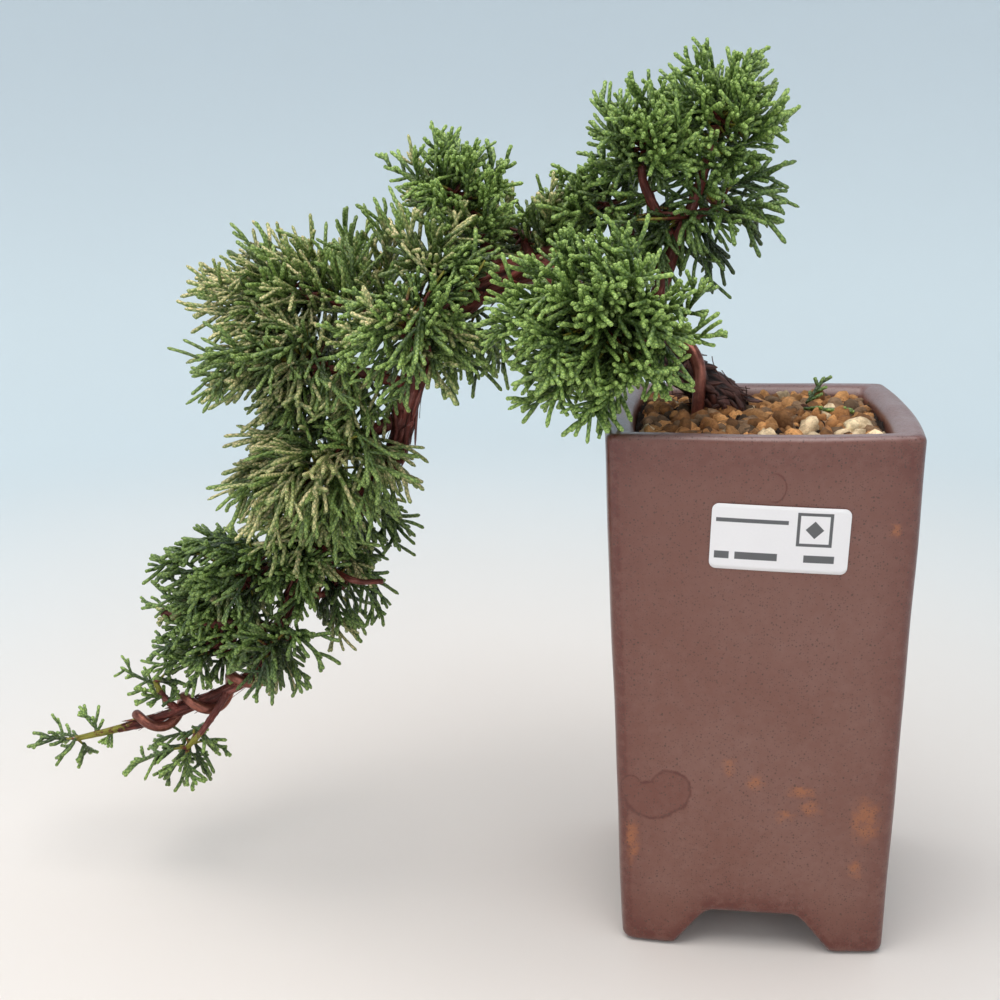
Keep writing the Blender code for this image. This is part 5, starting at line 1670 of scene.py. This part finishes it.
class JUNIPER_OT_soil(bpy.types.Operator):
    """Fill the pot with mix, clay grains and pumice"""

    bl_idname = "juniper.soil"
    bl_label = "Soil and stones"

    def execute(self, context):
        settings = context.scene.juniper_soil
        bed = mix_surface()
        rows, columns = bed.shape[:2]
        piece = add_piece("fine_mix_bed", bed, [grid_faces(rows, columns), end_faces(rows, columns)],
                          mix_material(settings))
        settle(piece, "akadama", "potting_mix")
        places, sizes, painted_shades, pale, rng = scatter_grains(settings)
        kinds = [colour(settings, name) for name in GRAIN_KINDS]
        finish = grain_material("clay_grains", 0.92)
        for name, slot, chosen, odds, nodes in (
                ("akadama_grains", "akadama", ~pale, CLAY_ODDS,
                 ["grain_ochre_front", "grain_ochre_back"]),
                ("pumice_grains", "pumice", pale, PUMICE_ODDS,
                 ["grain_cream_middle", "grain_cream_right", "grain_tan_left"])):
            middles, halves = fixed_grains(nodes)
            # Painted shade: the model's own grains keep their full colour, and loose ones take their
            # layer's painted shade
            shade = np.concatenate([np.ones(len(middles)), painted_shades[chosen]])
            middles = np.vstack([middles, places[chosen]])
            halves = np.vstack([halves * 0.85, sizes[chosen]])
            points, faces = grain_points(middles, halves, rng)
            picks = rng.choice(len(kinds), size=len(middles), p=odds)
            if slot == "pumice":
                picks[:3] = [GRAIN_KINDS.index(kind) for kind in ("cream", "cream", "brown")]
            tints = tint_marks(picks, kinds, shade, points.shape[1], rng)
            settle(add_piece(name, points, [faces], finish, {"tint": tints}), slot, *nodes)
        middle, halves = box_of("bark_chip")
        chip, faces = grain_points(middle[None], halves[None] * CHIP_SHAPE, rng, cuts=6)
        tints = tint_marks(np.array([0]), [linear(*CHIP_COLOUR)], np.ones(1), chip.shape[1], rng)
        settle(add_piece("chip_of_bark", chip, [faces], finish, {"tint": tints}), "bark", "bark_chip")
        refinish("drainage_mesh", drain_mesh_material())
        refinish("mesh_staple", staple_material())
        return {"FINISHED"}


class JUNIPER_OT_trunk(bpy.types.Operator):
    """Build the trunk and the strips that peel from it"""

    bl_idname = "juniper.trunk"
    bl_label = "Trunk"

    def execute(self, context):
        settings = context.scene.juniper_bark
        finish = bark_material(settings)
        points, share, relief = trunk_points(settings.relief / MM)
        trunk = add_tubes("trunk_bark", points[None], finish, {"age": share, "raised": relief},
                          30.0, trunk_length())
        settle(trunk, "bark", "trunk")
        rings, shares, rng = bark_strips(settings.flakes)
        shift = rng.uniform(0, 200, (len(rings), 2))
        marks = {"age": np.repeat(shares.ravel(), STRIP_SIDES),
                 "raised": np.repeat(rng.uniform(0.0, 0.6, len(rings)), STRIP_RINGS * STRIP_SIDES)}
        settle(add_tubes("bark_strips", rings, finish, marks, 3.0, 10.0, shift), "bark")
        return {"FINISHED"}


class JUNIPER_OT_branches(bpy.types.Operator):
    """Build the side branches"""

    bl_idname = "juniper.branches"
    bl_label = "Branches"

    def execute(self, context):
        names = list(BRANCHES)
        points = branch_tubes(names)
        share = np.linspace(0.35, 0.8, BRANCH_RINGS)[None, :, None] + np.zeros(points.shape[:3])
        green = np.array([name.startswith("tip") for name in names])
        share = share + green[:, None, None] * 0.25
        piece = add_tubes("side_branches", points, bpy.data.materials["juniper_bark"],
                          {"age": share, "raised": np.zeros(share.shape)}, 9.0, 40.0)
        settle(piece, "twig_bark", *names)
        return {"FINISHED"}


class JUNIPER_OT_wires(bpy.types.Operator):
    """Wind the training wires on the trunk"""

    bl_idname = "juniper.wires"
    bl_label = "Training wires"

    def execute(self, context):
        finish = wire_material(context.scene.juniper_wire)
        for name in COILS:
            points, path = wire_rings(name)
            piece = add_tubes("anodised_" + name, points, finish, None, 12.0, route_length(path),
                              sharp=50)
            settle(piece, "training_wire", name)
        return {"FINISHED"}


class JUNIPER_OT_foliage(bpy.types.Operator):
    """Grow the scale-leaved foliage pads and the twigs inside them"""

    bl_idname = "juniper.foliage"
    bl_label = "Foliage"

    def execute(self, context):
        settings = context.scene.juniper_foliage
        finish = foliage_material(settings)
        twigs = []
        for name in PADS:
            shoots, carried = grow_pad(name, settings)
            piece = shoot_mesh("shoots_" + name, shoots, settings, finish)
            settle(piece, "foliage", "foliage_" + name)
            twigs += carried
        for name, (first, last, bend) in SPRIGS.items():
            shoots, rng = Shoots(), np.random.default_rng(9)
            first, last = np.array([first]), np.array([last])
            first, last = (end + (0, 0, soil_height(*end[0, :2])) for end in (first, last))
            length = np.linalg.norm(last - first, axis=1)
            sideways = np.array([[0, 0, bend]])
            grow_sprays(shoots, rng, first, unit(last - first) - sideways, length, sideways,
                        SPRIG_FINGER, SPRIG_STYLE, np.array([SPRIG_DEPTH]))
            piece = shoot_mesh("sprig_" + name, shoots, settings, finish)
            settle(piece, "foliage", "fallen_sprig_" + name)
        points = twig_tubes(twigs, np.random.default_rng(77))
        age = np.linspace(0.8, 1.02, TWIG_RINGS)[None, :, None] + np.zeros(points.shape[:3])
        piece = add_tubes("fine_twigs", points, bpy.data.materials["juniper_bark"],
                          {"age": age, "raised": np.zeros(age.shape)}, 4.0, 12.0)
        settle(piece, "twig_bark")
        return {"FINISHED"}


class JUNIPER_OT_label(bpy.types.Operator):
    """Stick the plain paper label on the pot"""

    bl_idname = "juniper.label"
    bl_label = "Label"

    def execute(self, context):
        settings = context.scene.juniper_label
        points, flat = label_rows(settings.width / MM, settings.height / MM)
        rows, columns = points.shape[:2]
        faces = grid_faces(rows, columns, round_columns=False)
        piece = add_piece("paper_label", points, [faces], label_material(settings), None,
                          {"print": flat.reshape(-1, 2)[faces.ravel()]})
        paper = piece.modifiers.new("thickness", "SOLIDIFY")
        paper.thickness = LABEL_THICKNESS * MM
        paper.offset = 0.5
        settle(piece, "label_paper", "label")
        return {"FINISHED"}


OPERATORS = [JUNIPER_OT_stage, JUNIPER_OT_pot, JUNIPER_OT_soil, JUNIPER_OT_trunk,
             JUNIPER_OT_branches, JUNIPER_OT_wires, JUNIPER_OT_foliage, JUNIPER_OT_label]


class JUNIPER_PT_panel(bpy.types.Panel):
    """Lists the settings and builders of the potted juniper"""

    bl_idname = "JUNIPER_PT_panel"
    bl_label = "Potted Juniper"
    bl_space_type = "VIEW_3D"
    bl_region_type = "UI"
    bl_category = "Juniper"

    def draw(self, context):
        for operator in OPERATORS:
            self.layout.operator(operator.bl_idname)
        for name, group in SETTINGS.items():
            box = self.layout.box()
            box.label(text=group.__doc__)
            for key in group.__annotations__:
                box.prop(getattr(context.scene, name), key)


def register():
    """Register the settings, the operators and the panel."""
    for group in SETTINGS.values():
        bpy.utils.register_class(group)
    for name, group in SETTINGS.items():
        setattr(bpy.types.Scene, name, bpy.props.PointerProperty(type=group))
    for operator in OPERATORS:
        bpy.utils.register_class(operator)
    bpy.utils.register_class(JUNIPER_PT_panel)


def unregister():
    """Take away what register added, in the opposite order."""
    bpy.utils.unregister_class(JUNIPER_PT_panel)
    for operator in reversed(OPERATORS):
        bpy.utils.unregister_class(operator)
    for name in SETTINGS:
        delattr(bpy.types.Scene, name)
    for group in reversed(list(SETTINGS.values())):
        bpy.utils.unregister_class(group)


def main():
    """Register the add-on, then build every piece in turn."""
    register()
    for operator in OPERATORS:
        group, name = operator.bl_idname.split(".")
        getattr(getattr(bpy.ops, group), name)()


if __name__ == "__main__":
    main()
